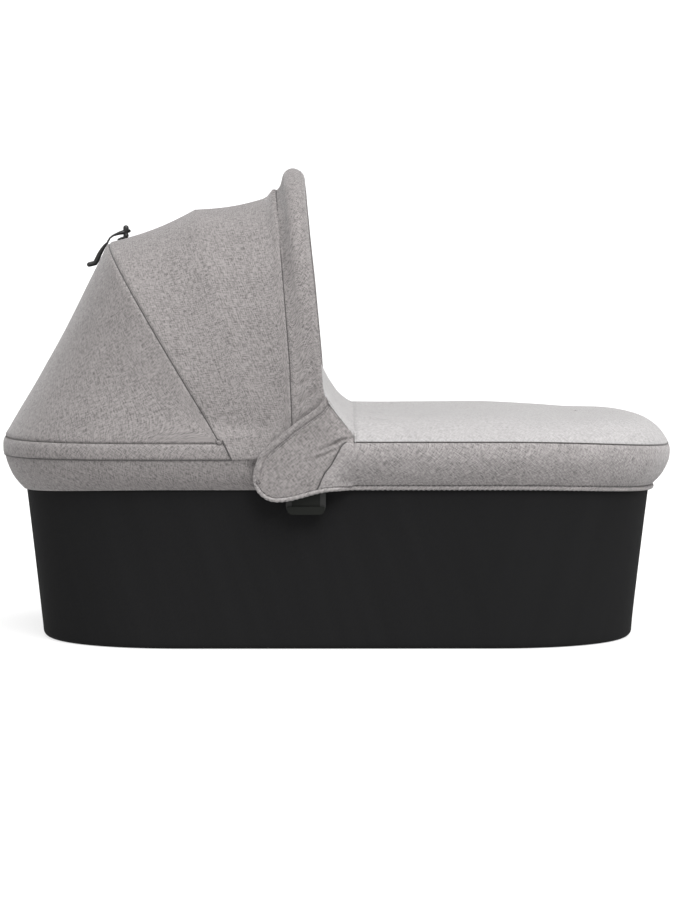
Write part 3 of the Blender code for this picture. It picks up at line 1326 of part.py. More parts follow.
def make_vent_strap(joint):
    """Make the moulded strap over the rear bow, with a lug below and a neck to its toggle."""
    apex, front, back = strap_frames()
    lift_front = Vector((-front.z, 0, front.x))
    lift_back = Vector((back.z, 0, -back.x))
    top = (lift_front + lift_back).normalized()
    thick, thin = STRAP_THICK, STRAP_THIN
    behind = SEAM_LAND * STRAP_LAND_SHARE + FIT
    knee = apex + front * STRAP_WIDTH + lift_front * STRAP_WIDTH * STRAP_KNEE_SHARE
    stations = (
        (apex + back * STRAP_TAIL + lift_back * (behind + STRAP_LUG), lift_back, thick),
        (apex + back * (STRAP_TAIL - thin) + lift_back * (behind + thick), lift_back, 2 * thick),
        (apex + back * STRAP_TAIL / 2 + lift_back * (behind + thick), lift_back, 2 * thick),
        (apex + back * STRAP_WIDTH + lift_back * (behind + thin), lift_back, thick),
        (apex + top * (behind + thin), top, 2 * thin),
        (apex + top * STRAP_WIDTH + front * thin, top, 2 * thin),
        (knee, lift_front, 2 * thin),
        (knee + front * (STRAP_REACH - STRAP_WIDTH - thin) + lift_front * thin, lift_front, thick),
    )
    rows = []
    for point, lift, depth in stations:
        across = Vector((0, STRAP_WIDTH / 2, 0))
        through = lift * depth / 2
        rows.append([point - across - through, point + across - through,
                     point + across + through, point - across + through])
    mesh = skin("vent_strap", rows, wrap=True, cap_first=True, cap_last=True)
    strap = add_piece("vent_strap", mesh, BLACK_RUBBER)
    ride(strap, joint)
    return strap


def make_vent_toggle(joint):
    """Make the toggle that buttons the strap down on the front panel."""
    apex, front, _ = strap_frames()
    lift = Vector((-front.z, 0, front.x))
    centre = apex + front * (STRAP_REACH + TOGGLE_RADIUS + FIT) + lift * (TOGGLE_LENGTH / 2 + SEAM_LAND / 2)
    start = centre - Vector((0, 0, TOGGLE_LENGTH / 2))
    end = centre + Vector((0, 0, TOGGLE_LENGTH / 2))
    mesh = rod_mesh("vent_toggle", start, end, TOGGLE_RADIUS, BORE_SIDES)
    toggle = add_piece("vent_toggle", mesh, BLACK_RUBBER)
    bevel(toggle, TOGGLE_RADIUS / 2, 2)
    ride(toggle, joint)
    return toggle


def build_tub():
    """Build the fixed body: tub, rim, lining, housings, hinge pins and head band."""
    make_tub()
    make_lining()
    make_base_board()
    make_rim_tubes()
    for side_name, side in SIDES.items():
        make_housing(side_name, side)
        make_screws(side_name, side)
        make_hub(side_name, side)
    make_hood_band()
    make_canopy_rear()


def build_hood():
    """Build the bows and the cloth that rides on them."""
    axis = (HUB_X, 0, HUB_Z)
    rear = add_joint("hood_axis_rear", axis)
    middle = add_joint("hood_axis_middle", axis)
    front = add_joint("hood_axis_front", axis)
    make_bow("rear_bow", REAR_BOW, rear)
    make_canopy_front(rear)
    make_vent_strap(rear)
    make_vent_toggle(rear)
    make_bow("middle_bow", MID_BOW, middle)
    make_bow("front_bow", FRONT_BOW, front)
    make_visor(front)


def build_apron():
    """Build the apron with its skirt, piping, collar and wings."""
    joint = add_joint("apron_axis", (APRON_START, 0, APRON_SIDE_SEAM))
    make_apron_cover(joint)
    make_apron_skirt(joint)
    make_piping(joint)
    make_collar(joint)
    for side_name, side in SIDES.items():
        make_wing(side_name, side, joint)


def build_levers():
    """Build the release levers and their springs."""
    for side_name, side in SIDES.items():
        place = slanted(SOCKET_MIDDLE, SOCKET_OUTER, LEVER_LIP_BOTTOM)
        joint = add_joint(f"lever_axis_{side_name}", (place.x, side * place.y, place.z))
        make_lever(side_name, side, joint)
        make_lever_spring(side_name, side, joint)


def build_mattress():
    """Build the loose mattress."""
    make_mattress(add_joint("mattress_axis", (0, 0, TUB_WALL + FIT + BOARD + FIT)))


build_tub()
build_hood()
build_apron()
build_levers()
build_mattress()
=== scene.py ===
"""The looks of a carrycot: a fabric tub on a rim tube, a folding hood and a fitted apron.

Lengths are metres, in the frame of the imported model. +Z is up, +X runs to the foot end, and the
left side is the one at -Y. Places are measured on the cloth's outside unless they say otherwise.
"""

import logging
from dataclasses import dataclass, field
from enum import Enum
from math import copysign, cos, exp, pi, radians, sin, sqrt
from typing import NamedTuple

import bpy
import numpy as np
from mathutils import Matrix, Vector, noise


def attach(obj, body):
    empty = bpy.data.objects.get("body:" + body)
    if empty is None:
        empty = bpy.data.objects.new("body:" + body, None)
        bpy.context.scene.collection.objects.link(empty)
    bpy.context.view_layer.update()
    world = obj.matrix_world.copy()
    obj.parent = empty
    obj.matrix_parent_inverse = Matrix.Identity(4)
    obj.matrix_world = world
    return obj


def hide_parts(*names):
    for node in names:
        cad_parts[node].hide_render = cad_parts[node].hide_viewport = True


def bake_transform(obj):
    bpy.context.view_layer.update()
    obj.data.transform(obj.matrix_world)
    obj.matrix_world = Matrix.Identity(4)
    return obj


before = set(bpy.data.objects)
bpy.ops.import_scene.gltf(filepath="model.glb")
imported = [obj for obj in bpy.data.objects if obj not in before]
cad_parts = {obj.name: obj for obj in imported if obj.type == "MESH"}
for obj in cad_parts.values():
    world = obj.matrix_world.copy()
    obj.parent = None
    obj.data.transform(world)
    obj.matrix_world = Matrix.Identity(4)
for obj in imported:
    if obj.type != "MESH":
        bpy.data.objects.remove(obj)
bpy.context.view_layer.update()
LOG = logging.getLogger("carrycot")

Colour = tuple[float, float, float]
Pair = tuple[float, float]
Triple = tuple[float, float, float]
Line = list[Vector]

FIT = 0.0003
TINY = 1e-9
WELD_REACH = 1e-6
SHARP_ANGLE = radians(60)
DOME_TURNS = (radians(80), radians(50), radians(25))
CURVE_STEPS = 12
LEAD_STEPS = 3
CORD_SIDES = 6
EVEN: Triple = (1.0, 1.0, 1.0)
CLOTH_MAP = "cloth"
SIDES = {"left": -1, "right": 1}


class Seed(Enum):
    """Where each piece's unevenness starts in the noise."""

    BAND = 1.0
    REAR_PANEL = 2.0
    TUB = 3.0
    VISOR = 4.0
    STRIP = 5.0
    APRON_SIDE = 6.0
    FRONT_PANEL = 7.0
    APRON_TOP = 8.0
    LINING = 9.0
    COLLAR = 11.0
    WING_LEFT = 12.0
    WING_RIGHT = 14.0


# Shapes

def smoothstep(value: float, low: float, high: float) -> float:
    """Rise smoothly from 0 at low to 1 at high."""
    share = min(max((value - low) / (high - low), 0.0), 1.0)
    return share * share * (3 - 2 * share)


def smooth_array(values: np.ndarray, low: float, high: float) -> np.ndarray:
    """Rise smoothly from 0 at low to 1 at high, for every value."""
    share = np.clip((values - low) / (high - low), 0.0, 1.0)
    return share * share * (3 - 2 * share)


def read_curve(pairs: tuple[Pair, ...], share: float) -> float:
    """Read a value from (share, value) pairs by smooth steps that pass through them."""
    last = len(pairs) - 1
    for index in range(last):
        (left, low), (right, high) = pairs[index], pairs[index + 1]
        if share > right and index < last - 1:
            continue
        before = pairs[max(index - 1, 0)]
        after = pairs[min(index + 2, last)]
        width = right - left
        rise_low = (high - before[1]) / (right - before[0]) * width
        rise_high = (after[1] - low) / (after[0] - left) * width
        part = min(max((share - left) / width, 0.0), 1.0)
        square, cube = part * part, part * part * part
        return ((2 * cube - 3 * square + 1) * low + (cube - 2 * square + part) * rise_low
                + (3 * square - 2 * cube) * high + (cube - square) * rise_high)
    return pairs[-1][1]


def lengths_along(places: np.ndarray) -> np.ndarray:
    """Give each place's length along the line of places."""
    steps = np.linalg.norm(np.diff(places, axis=0), axis=1)
    return np.concatenate([[0.0], np.cumsum(steps)])


def read_at(targets: np.ndarray, lengths: np.ndarray, values: np.ndarray) -> np.ndarray:
    """Read the values of a line, three to a place, at lengths along it."""
    return np.stack([np.interp(targets, lengths, values[:, axis]) for axis in range(3)], axis=1)


def resample(points: Line, count: int) -> Line:
    """Spread points evenly along a line.

    Args:
        points: The line's points.
        count: How many points the new line has.

    Returns:
        The new line, with the same ends.
    """
    places = np.array([tuple(point) for point in points])
    lengths = lengths_along(places)
    targets = np.linspace(0.0, lengths[-1], count)
    return [Vector(place) for place in read_at(targets, lengths, places)]


def smooth_line(places: list[Pair], count: int) -> list[Pair]:
    """Draw a smooth line through places.

    Args:
        places: The (x, z) places that the line passes.
        count: How many points the line has.

    Returns:
        The line's points, evenly spread.
    """
    fine: Line = []
    last = len(places) - 1
    for index in range(last):
        before = Vector(places[max(index - 1, 0)])
        start, stop = Vector(places[index]), Vector(places[index + 1])
        after = Vector(places[min(index + 2, last)])
        for step in range(CURVE_STEPS):
            part = step / CURVE_STEPS
            place = 0.5 * ((2 * start) + (stop - before) * part
                           + (2 * before - 5 * start + 4 * stop - after) * part ** 2
                           + (3 * start - before - 3 * stop + after) * part ** 3)
            fine.append(Vector((place.x, place.y, 0.0)))
    fine.append(Vector((*places[-1], 0.0)))
    return [(point.x, point.y) for point in resample(fine, count)]


def bezier(corners: tuple[Pair, ...], share: float) -> Pair:
    """Give the x and height of a cubic curve at a share of its length parameter."""
    rest = 1 - share
    weights = (rest ** 3, 3 * rest ** 2 * share, 3 * rest * share ** 2, share ** 3)
    x = sum(weight * corner[0] for weight, corner in zip(weights, corners))
    z = sum(weight * corner[1] for weight, corner in zip(weights, corners))
    return x, z


def placed_curve(shares: tuple[Pair, ...], x: float, z: float, reach: float,
                 rise: float) -> tuple[Pair, ...]:
    """Place a curve given as shares of a reach and a rise from its start."""
    return tuple((x + along * reach, z + up * rise) for along, up in shares)


def lead(first: Line, second: Line, out: bool = False) -> list[Line]:
    """Step evenly from one line to another, without the second one, or out to it without the first."""
    return [[a.lerp(b, (step + out) / LEAD_STEPS) for a, b in zip(first, second)]
            for step in range(LEAD_STEPS)]


def reversed_rows(rows: list[Line]) -> list[Line]:
    """Run each row the other way, so that the outside looks outwards."""
    return [list(reversed(row)) for row in rows]


def mirrored(line: Line) -> Line:
    """Give a line on the part's other side."""
    return [Vector((point.x, -point.y, point.z)) for point in line]


def rumple(points: np.ndarray, reach: float, seed: Seed, stretch: Triple = EVEN) -> np.ndarray:
    """Give smooth unevenness from -1 to 1 at points.

    Args:
        points: The points, as the last axis of the array.
        reach: The size of one swell.
        seed: Moves the pattern, so that each piece has its own.
        stretch: How many times denser the swells are along each axis.

    Returns:
        One value for each point.
    """
    flat = (points * np.array(stretch)).reshape(-1, 3)
    shift = Vector((seed.value, seed.value * 2, seed.value * 3))
    values = [noise.noise(Vector(point) / reach + shift) for point in flat]
    return np.array(values).reshape(points.shape[:-1])


def distance_to(places: list[Pair] | tuple[Pair, ...], flat: np.ndarray) -> tuple[np.ndarray, np.ndarray]:
    """Measure from points in a plane to a line in it.

    Args:
        places: The line's places.
        flat: The points, as the last axis of the array.

    Returns:
        Each point's distance from the line, and the share of the line's length nearest to it.
    """
    best = np.full(flat.shape[:-1], np.inf)
    along = np.zeros(flat.shape[:-1])
    steps = [np.array(stop) - np.array(start) for start, stop in zip(places, places[1:])]
    total = sum(np.linalg.norm(step) for step in steps)
    done = 0.0
    for start, step in zip(places, steps):
        length = float(np.linalg.norm(step))
        way = step / length
        away = flat - np.array(start)
        reach = np.clip(away @ way, 0.0, length)
        distance = np.linalg.norm(away - reach[..., None] * way, axis=-1)
        along = np.where(distance < best, (done + reach) / total, along)
        best = np.minimum(best, distance)
        done += length
    return best, along


@dataclass(frozen=True)
class Crease:
    """A soft fold in cloth, along a line of places in one plane of the frame."""

    places: tuple[Pair, ...]
    height: float
    width: float
    plane: tuple[int, int] = (0, 2)
    side: int = 0
    end_share: float = 0.02
    fade_power: float = 0.7

    def lift(self, points: np.ndarray) -> np.ndarray:
        """Give how far the fold moves each point outwards, fading at its two ends."""
        best, along = distance_to(self.places, points[..., list(self.plane)])
        fade = np.sin(np.clip(along, self.end_share, 1 - self.end_share) * pi) ** self.fade_power
        lifted = self.height * np.exp(-(best / self.width) ** 2) * fade
        if self.side:
            lifted = lifted * (points[..., 1] * self.side > 0)
        return lifted


class Surface:
    """A grid of points that a piece is skinned over.

    Rows rise and points run anticlockwise seen from above, so that the outside looks outwards.
    Where the grid is closed, its last column repeats its first one.
    """

    def __init__(self, rows: list[Line] | np.ndarray, closed: bool = False) -> None:
        """Take the rows of points.

        Args:
            rows: The rows, each the same number of points.
            closed: Whether each row is a ring. Its first point is then repeated.
        """
        self.points = np.array([[tuple(point) for point in row] for row in rows], dtype=float)
        self.closed = closed
        if closed:
            self.points = np.concatenate([self.points, self.points[:, :1]], axis=1)

    def normals(self) -> np.ndarray:
        """Give the outward direction at each point."""
        along = np.gradient(self.points, axis=1)
        if self.closed:
            along[:, 0] = self.points[:, 1] - self.points[:, -2]
            along[:, -1] = along[:, 0]
        across = np.gradient(self.points, axis=0)
        outward = np.cross(along, across)
        length = np.linalg.norm(outward, axis=2, keepdims=True)
        return outward / np.maximum(length, TINY)

    def raise_by(self, heights: np.ndarray | float) -> "Surface":
        """Move every point outwards by its height, and give the surface back."""
        lifts = np.broadcast_to(np.asarray(heights, dtype=float), self.points.shape[:-1])
        self.points = self.points + self.normals() * lifts[..., None]
        return self

    def along(self) -> np.ndarray:
        """Give each point's length along its row, from the row's middle."""
        steps = np.linalg.norm(np.diff(self.points, axis=1), axis=2)
        lengths = np.concatenate([np.zeros((len(steps), 1)), np.cumsum(steps, axis=1)], axis=1)
        return lengths - lengths[:, -1:] / 2

    def across(self) -> np.ndarray:
        """Give each point's length from the first row."""
        steps = np.linalg.norm(np.diff(self.points, axis=0), axis=2)
        return np.concatenate([np.zeros((1, steps.shape[1])), np.cumsum(steps, axis=0)], axis=0)

    def to_edges(self) -> tuple[np.ndarray, np.ndarray]:
        """Give each point's length from the first row and to the last row."""
        across = self.across()
        return across, across[-1:] - across

    def calm(self, first: float, last: float) -> np.ndarray:
        """Rise from 0 at the first and last row to 1 at these lengths from them."""
        low, high = self.to_edges()
        return smooth_array(low, 0.0, first) * smooth_array(high, 0.0, last)

    def area(self) -> float:
        """Give the surface's area."""
        first = self.points[1:, 1:] - self.points[:-1, :-1]
        second = self.points[1:, :-1] - self.points[:-1, 1:]
        return float(np.linalg.norm(np.cross(first, second), axis=2).sum() / 2)


def add_object(name: str, data: bpy.types.ID) -> bpy.types.Object:
    """Add an object with its data to the scene."""
    made = bpy.data.objects.new(name, data)
    bpy.context.scene.collection.objects.link(made)
    return made


class Skin:
    """Points, faces and cloth coordinates, gathered from surfaces into one mesh."""

    edge_round_share = 0.45

    def __init__(self) -> None:
        """Start with nothing."""
        self.points: list[np.ndarray] = []
        self.places: list[np.ndarray] = []
        self.faces: list[tuple[int, ...]] = []
        self.count = 0

    def _take(self, points: np.ndarray, places: np.ndarray) -> np.ndarray:
        """Add points with their cloth places, and give their numbers in the same grid."""
        shape = points.shape[:-1]
        total = int(np.prod(shape))
        self.points.append(points.reshape(-1, 3))
        self.places.append(places.reshape(-1, 2))
        numbers = np.arange(self.count, self.count + total).reshape(shape)
        self.count += total
        return numbers

    def _quads(self, numbers: np.ndarray, flip: bool = False) -> None:
        """Add the faces of a grid of point numbers."""
        corners = (numbers[:-1, :-1], numbers[:-1, 1:], numbers[1:, 1:], numbers[1:, :-1])
        if flip:
            corners = corners[::-1]
        self.faces += [tuple(face) for face in np.stack(corners, axis=-1).reshape(-1, 4).tolist()]

    def add(self, surface: Surface, thickness: float = 0.0, places: np.ndarray | None = None,
            caps: tuple[bool, bool] = (False, False)) -> "Skin":
        """Add a surface, with its inner side and its rounded edges where it is thick.

        Args:
            surface: The outer surface.
            thickness: How thick the piece is, inwards.
            places: Each point's place in the cloth, or None for lengths along and across.
            caps: Whether the first and the last row of a closed surface are filled.

        Returns:
            The skin itself.
        """
        outer = surface.points
        if places is None:
            places = np.stack([surface.along(), surface.across()], axis=-1)
        numbers = self._take(outer, places)
        self._quads(numbers)
        if not thickness:
            if caps[0]:
                self._cap(numbers[0], flip=True)
            if caps[1]:
                self._cap(numbers[-1], flip=False)
            return self
        inner = outer - surface.normals() * thickness
        inner_numbers = self._take(inner, places)
        self._quads(inner_numbers, flip=True)
        bulge = thickness * self.edge_round_share
        if surface.closed:
            for row, beside, cap in ((0, 1, caps[0]), (-1, -2, caps[1])):
                if cap:
                    self._cap(numbers[row], flip=row == 0)
                    self._cap(inner_numbers[row], flip=row != 0)
                    continue
                middle = self._edge_middle(outer[row], outer[beside], inner[row], bulge)
                middles = self._take(middle, places[row])
                self._rim((numbers[row], middles, inner_numbers[row]), flip=row != 0)
            return self
        loop = self._border(outer.shape[:2])
        inside = [(min(max(r, 1), outer.shape[0] - 2), min(max(c, 1), outer.shape[1] - 2))
                  for r, c in loop]
        rows, columns = np.array(loop).T
        near_rows, near_columns = np.array(inside).T
        middle = self._edge_middle(outer[rows, columns], outer[near_rows, near_columns],
                                   inner[rows, columns], bulge)
        middles = self._take(middle, places[rows, columns])
        self._rim((numbers[rows, columns], middles, inner_numbers[rows, columns]))
        return self

    @staticmethod
    def _border(shape: tuple[int, int]) -> list[tuple[int, int]]:
        """Give the grid places round a sheet's border, anticlockwise and closed."""
        last_row, last_column = shape[0] - 1, shape[1] - 1
        loop = [(0, column) for column in range(last_column)]
        loop += [(row, last_column) for row in range(last_row)]
        loop += [(last_row, column) for column in range(last_column, 0, -1)]
        loop += [(row, 0) for row in range(last_row, -1, -1)]
        return loop

    @staticmethod
    def _edge_middle(edge: np.ndarray, beside: np.ndarray, inner: np.ndarray,
                     bulge: float) -> np.ndarray:
        """Give the middle line of a rounded edge, which stands out past the sheet."""
        out = edge - beside
        out = out / np.maximum(np.linalg.norm(out, axis=-1, keepdims=True), TINY)
        return (edge + inner) / 2 + out * bulge

    def _cap(self, ring: np.ndarray, flip: bool) -> None:
        """Fill a closed ring of point numbers with one face."""
        face = tuple(ring[:-1].tolist())
        self.faces.append(face[::-1] if flip else face)

    def _rim(self, strips: tuple[np.ndarray, ...], flip: bool = False) -> None:
        """Join the outer, middle and inner lines of an edge with faces."""
        for upper, lower in zip(strips, strips[1:]):
            corners = (upper[1:], upper[:-1], lower[:-1], lower[1:])
            if flip:
                corners = corners[::-1]
            self.faces += [tuple(face) for face in np.stack(corners, axis=-1).tolist()]

    def make(self, name: str, material: bpy.types.Material) -> bpy.types.Object:
        """Make the object.

        Args:
            name: The piece's name.
            material: Its finish.

        Returns:
            The new object, in the scene.
        """
        mesh = bpy.data.meshes.new(name)
        mesh.from_pydata(np.concatenate(self.points).tolist(), [], self.faces)
        places = np.concatenate(self.places)
        layer = mesh.uv_layers.new(name=CLOTH_MAP)
        corners = np.zeros(len(mesh.loops), dtype=np.int32)
        mesh.loops.foreach_get("vertex_index", corners)
        layer.data.foreach_set("uv", places[corners].astype(np.float32).ravel())
        mesh.materials.append(material)
        piece = add_object(name, mesh)
        weld(piece)
        piece.data.shade_smooth()
        piece.data.set_sharp_from_angle(angle=SHARP_ANGLE)
        return piece


def weld(piece: bpy.types.Object) -> None:
    """Join a piece's points that lie in the same place."""
    apply_step(piece, "WELD", merge_threshold=WELD_REACH)


def apply_step(piece: bpy.types.Object, kind: str, **settings: object) -> None:
    """Run one modifier on a piece and keep its result.

    Args:
        piece: The piece.
        kind: The modifier's type.
        **settings: The modifier's values.
    """
    step = piece.modifiers.new(kind.lower(), kind)
    for key, value in settings.items():
        setattr(step, key, value)
    view = bpy.context.evaluated_depsgraph_get()
    baked = bpy.data.meshes.new_from_object(piece.evaluated_get(view))
    old = piece.data
    piece.modifiers.remove(step)
    piece.data = baked
    baked.name = old.name
    bpy.data.meshes.remove(old)


def tube(path: Line, radius: float | list[float], sides: int = CORD_SIDES, round_ends: bool = True,
         up: Vector = Vector((0, 0, 1))) -> Surface:
    """Sweep a round bar along a path.

    Args:
        path: The points of its centre line.
        radius: Its radius, or one for each point.
        sides: How many points go round it.
        round_ends: Whether its ends are domed.
        up: The direction that its first ring starts from.

    Returns:
        The closed surface.
    """
    radii = list(radius) if isinstance(radius, (list, tuple)) else [radius] * len(path)
    points = list(path)
    if round_ends:
        start_way = (points[0] - points[1]).normalized()
        end_way = (points[-1] - points[-2]).normalized()
        head = [(points[0] + start_way * radii[0] * sin(turn), radii[0] * cos(turn))
                for turn in DOME_TURNS]
        tail = [(points[-1] + end_way * radii[-1] * sin(turn), radii[-1] * cos(turn))
                for turn in reversed(DOME_TURNS)]
        points = [point for point, _ in head] + points + [point for point, _ in tail]
        radii = [size for _, size in head] + radii + [size for _, size in tail]
    normal = up
    rings = []
    for index, (point, size) in enumerate(zip(points, radii)):
        way = (points[min(index + 1, len(points) - 1)] - points[max(index - 1, 0)]).normalized()
        normal = (normal - way * normal.dot(way)).normalized()
        side = way.cross(normal)
        ring = []
        for step in range(sides):
            turn = 2 * pi * step / sides
            ring.append(point + side * cos(turn) * size - normal * sin(turn) * size)
        rings.append(list(reversed(ring)))
    return Surface(rings, closed=True)


def bar(path: Line, radius: float | list[float], **shape: object) -> Skin:
    """Make a closed bar along a path, shaped as in tube."""
    return Skin().add(tube(path, radius, **shape), caps=(True, True))


# Finishes

class NodeGraph:
    """The nodes of one material, made and joined in short calls."""

    def __init__(self, name: str) -> None:
        """Start a material with its shader."""
        self.material = bpy.data.materials.new(name)
        self.material.use_nodes = True
        self.tree = self.material.node_tree
        self.shader = self.tree.nodes["Principled BSDF"]

    def feed(self, node: bpy.types.Node, key: str | int, value: object) -> None:
        """Link a socket to another one, or set its value."""
        target = node.inputs[key]
        if isinstance(value, bpy.types.NodeSocket):
            self.tree.links.new(value, target)
        else:
            target.default_value = value

    def add(self, kind: str, inputs: dict | None = None, **settings: object) -> bpy.types.Node:
        """Add a node.

        Args:
            kind: The shader node's type, without its common prefix.
            inputs: Values or sockets for its inputs.
            **settings: The node's own settings.

        Returns:
            The new node.
        """
        node = self.tree.nodes.new(f"ShaderNode{kind}")
        for key, value in settings.items():
            setattr(node, key, value)
        for key, value in (inputs or {}).items():
            self.feed(node, key, value)
        return node

    def math(self, operation: str, first: object, second: object = 0.0,
             third: object = 0.0) -> bpy.types.NodeSocket:
        """Work out one value from up to three."""
        node = self.add("Math", {0: first, 1: second, 2: third}, operation=operation)
        return node.outputs[0]

    def mix(self, share: object, first: object, second: object) -> bpy.types.NodeSocket:
        """Mix two colours."""
        node = self.add("Mix", {0: share, 6: first, 7: second}, data_type="RGBA")
        return node.outputs[2]

    def cloth_places(self, turn: float) -> bpy.types.NodeSocket:
        """Give the place in the cloth, in metres, turned to the grain."""
        places = self.add("UVMap", uv_map=CLOTH_MAP)
        turned = self.add("Mapping", {"Vector": places.outputs[0], "Rotation": (0, 0, turn)})
        return turned.outputs[0]

    def stretched_noise(self, places: bpy.types.NodeSocket, sizes: Triple,
                        detail: float = 2.0) -> bpy.types.NodeSocket:
        """Give noise whose swells have these sizes along each direction."""
        scale = tuple(1 / size for size in sizes)
        scaled = self.add("Mapping", {"Vector": places, "Scale": scale})
        values = self.add("TexNoise", {"Vector": scaled.outputs[0], "Scale": 1.0, "Detail": detail})
        return values.outputs[0]

    def object_places(self) -> bpy.types.NodeSocket:
        """Give the place in the piece's own space."""
        return self.add("TexCoord").outputs["Object"]

    def bump(self, height: bpy.types.NodeSocket, distance: float) -> None:
        """Bump the surface by a height from 0 to 1 times a distance."""
        node = self.add("Bump", {"Height": height, "Distance": distance, "Strength": 1.0})
        self.feed(self.shader, "Normal", node.outputs[0])

    def finish(self, **values: object) -> bpy.types.Material:
        """Set the shader's own values and give the material."""
        for key, value in values.items():
            self.feed(self.shader, key.replace("_", " "), value)
        return self.material


def shade(colour: Colour, share: float) -> tuple[float, float, float, float]:
    """Give a colour made lighter or darker by a share."""
    return (*(min(part * (1 + share), 1.0) for part in colour), 1.0)


@dataclass(frozen=True)
class Melange:
    """Heather cloth: light and dark slubs in both thread directions over a plain weave."""

    colour: Colour
    grain: float = 0.0
    slub_length: float = 0.0058
    slub_width: float = 0.0012
    streak_length: float = 0.034
    streak_width: float = 0.0011
    streak_share: float = 0.85
    thread: float = 0.0008
    contrast: float = 1.0
    fleck_contrast: float = 1.9
    fleck_shift: float = -1.4
    patch: float = 0.045
    patch_contrast: float = 0.22
    weave_depth: float = 0.00016
    weave_share: float = 0.3
    fleck_share: float = 0.8
    detail: float = 3.0
    roughness: float = 0.92
    specular: float = 0.15
    sheen: float = 0.22
    sheen_roughness: float = 0.4

    def make(self, name: str) -> bpy.types.Material:
        """Make the material."""
        graph = NodeGraph(name)
        places = graph.cloth_places(self.grain)
        long, wide = self.slub_length, self.slub_width
        warp = graph.stretched_noise(places, (long, wide, 1.0), self.detail)
        weft = graph.stretched_noise(places, (wide, long, 1.0), self.detail)
        fleck = graph.math("ADD", warp, weft)
        tone = graph.math("MULTIPLY_ADD", fleck, self.fleck_contrast, self.fleck_shift)
        soft = graph.stretched_noise(places, (self.patch, self.patch, 1.0))
        tone = graph.math("MULTIPLY_ADD", soft, self.patch_contrast, tone)
        long, wide = self.streak_length, self.streak_width
        for sizes in ((long, wide, 1.0), (wide, long, 1.0)):
            streak = graph.stretched_noise(places, sizes)
            tone = graph.math("MULTIPLY_ADD", streak, self.streak_share, tone)
        tone = graph.math("SUBTRACT", tone, self.streak_share)
        clear = graph.add("Clamp", {"Value": tone}).outputs[0]
        colour = graph.mix(clear, shade(self.colour, -self.contrast / 2),
                           shade(self.colour, self.contrast / 2))
        lines = []
        turn = 2 * pi / self.thread
        split = graph.add("SeparateXYZ", {0: places})
        for axis in range(2):
            lines.append(graph.math("SINE", graph.math("MULTIPLY", split.outputs[axis], turn)))
        weave = graph.math("MULTIPLY", *lines)
        height = graph.math("MULTIPLY_ADD", weave, self.weave_share,
                            graph.math("MULTIPLY", fleck, self.fleck_share))
        graph.bump(height, self.weave_depth)
        return graph.finish(Base_Color=colour, Roughness=self.roughness,
                            Specular_IOR_Level=self.specular, Sheen_Weight=self.sheen,
                            Sheen_Roughness=self.sheen_roughness)


@dataclass(frozen=True)
class Twill:
    """Plain dark cloth with fine slanted ribs, and upright streaks of tone that are painted sheen and
    shade of soft folds.
    """

    colour: Colour
    rib: float = 0.0011
    depth: float = 0.0001
    contrast: float = 0.25
    sheen: float = 0.0
    grain: float = radians(35)
    rib_length_ratio: float = 8.0
    rib_share: float = 0.3
    fold_shading_sizes: Triple = (0.028, 0.35, 1.0)
    roughness: float = 0.9
    specular: float = 0.06
    sheen_roughness: float = 0.5

    def make(self, name: str) -> bpy.types.Material:
        """Make the material."""
        graph = NodeGraph(name)
        places = graph.cloth_places(self.grain)
        split = graph.add("SeparateXYZ", {0: places})
        ribs = graph.math("SINE", graph.math("MULTIPLY", split.outputs[0], 2 * pi / self.rib))
        uneven = graph.stretched_noise(places, (self.rib, self.rib * self.rib_length_ratio, 1.0))
        # Upright streaks of lighter and darker tone: painted sheen and shade of soft folds.
        painted_fold_shading = graph.stretched_noise(graph.cloth_places(0.0), self.fold_shading_sizes)
        tone = graph.math("MULTIPLY_ADD", uneven, 0.5, graph.math("MULTIPLY", painted_fold_shading, 0.5))
        colour = graph.mix(tone, shade(self.colour, -self.contrast), shade(self.colour, self.contrast))
        graph.bump(graph.math("MULTIPLY_ADD", ribs, self.rib_share, uneven), self.depth)
        return graph.finish(Base_Color=colour, Roughness=self.roughness,
                            Specular_IOR_Level=self.specular, Sheen_Weight=self.sheen,
                            Sheen_Roughness=self.sheen_roughness)


@dataclass(frozen=True)
class Moulded:
    """Moulded plastic or rubber with a fine sparked grain."""

    colour: Colour
    roughness: float = 0.5
    specular: float = 0.4
    grain: float = 0.0007
    depth: float = 0.00005
    detail: float = 3.0
    wear_ratio: float = 30.0
    darker_share: float = -0.12
    lighter_share: float = 0.15
    uneven_roughness: float = 0.15
    polish: float = 0.07

    def make(self, name: str) -> bpy.types.Material:
        """Make the material."""
        graph = NodeGraph(name)
        places = graph.object_places()
        fine = graph.stretched_noise(places, (self.grain,) * 3, self.detail)
        worn = graph.stretched_noise(places, (self.grain * self.wear_ratio,) * 3)
        colour = graph.mix(worn, shade(self.colour, self.darker_share),
                           shade(self.colour, self.lighter_share))
        graph.bump(fine, self.depth)
        rough = graph.math("MULTIPLY_ADD", worn, self.uneven_roughness, self.roughness - self.polish)
        return graph.finish(Base_Color=colour, Roughness=rough, Specular_IOR_Level=self.specular)


@dataclass(frozen=True)
class Metal:
    """Drawn or turned metal with faint lines along one axis."""

    colour: Colour
    roughness: float = 0.3
    line_sizes: Triple = (0.02, 0.0004, 0.0004)
    darker_share: float = -0.1
    lighter_share: float = 0.08
    uneven_roughness: float = 0.12
    polish: float = 0.05

    def make(self, name: str) -> bpy.types.Material:
        """Make the material."""
        graph = NodeGraph(name)
        places = graph.object_places()
        lines = graph.stretched_noise(places, self.line_sizes)
        colour = graph.mix(lines, shade(self.colour, self.darker_share),
                           shade(self.colour, self.lighter_share))
        rough = graph.math("MULTIPLY_ADD", lines, self.uneven_roughness, self.roughness - self.polish)
        return graph.finish(Base_Color=colour, Roughness=rough, Metallic=1.0)


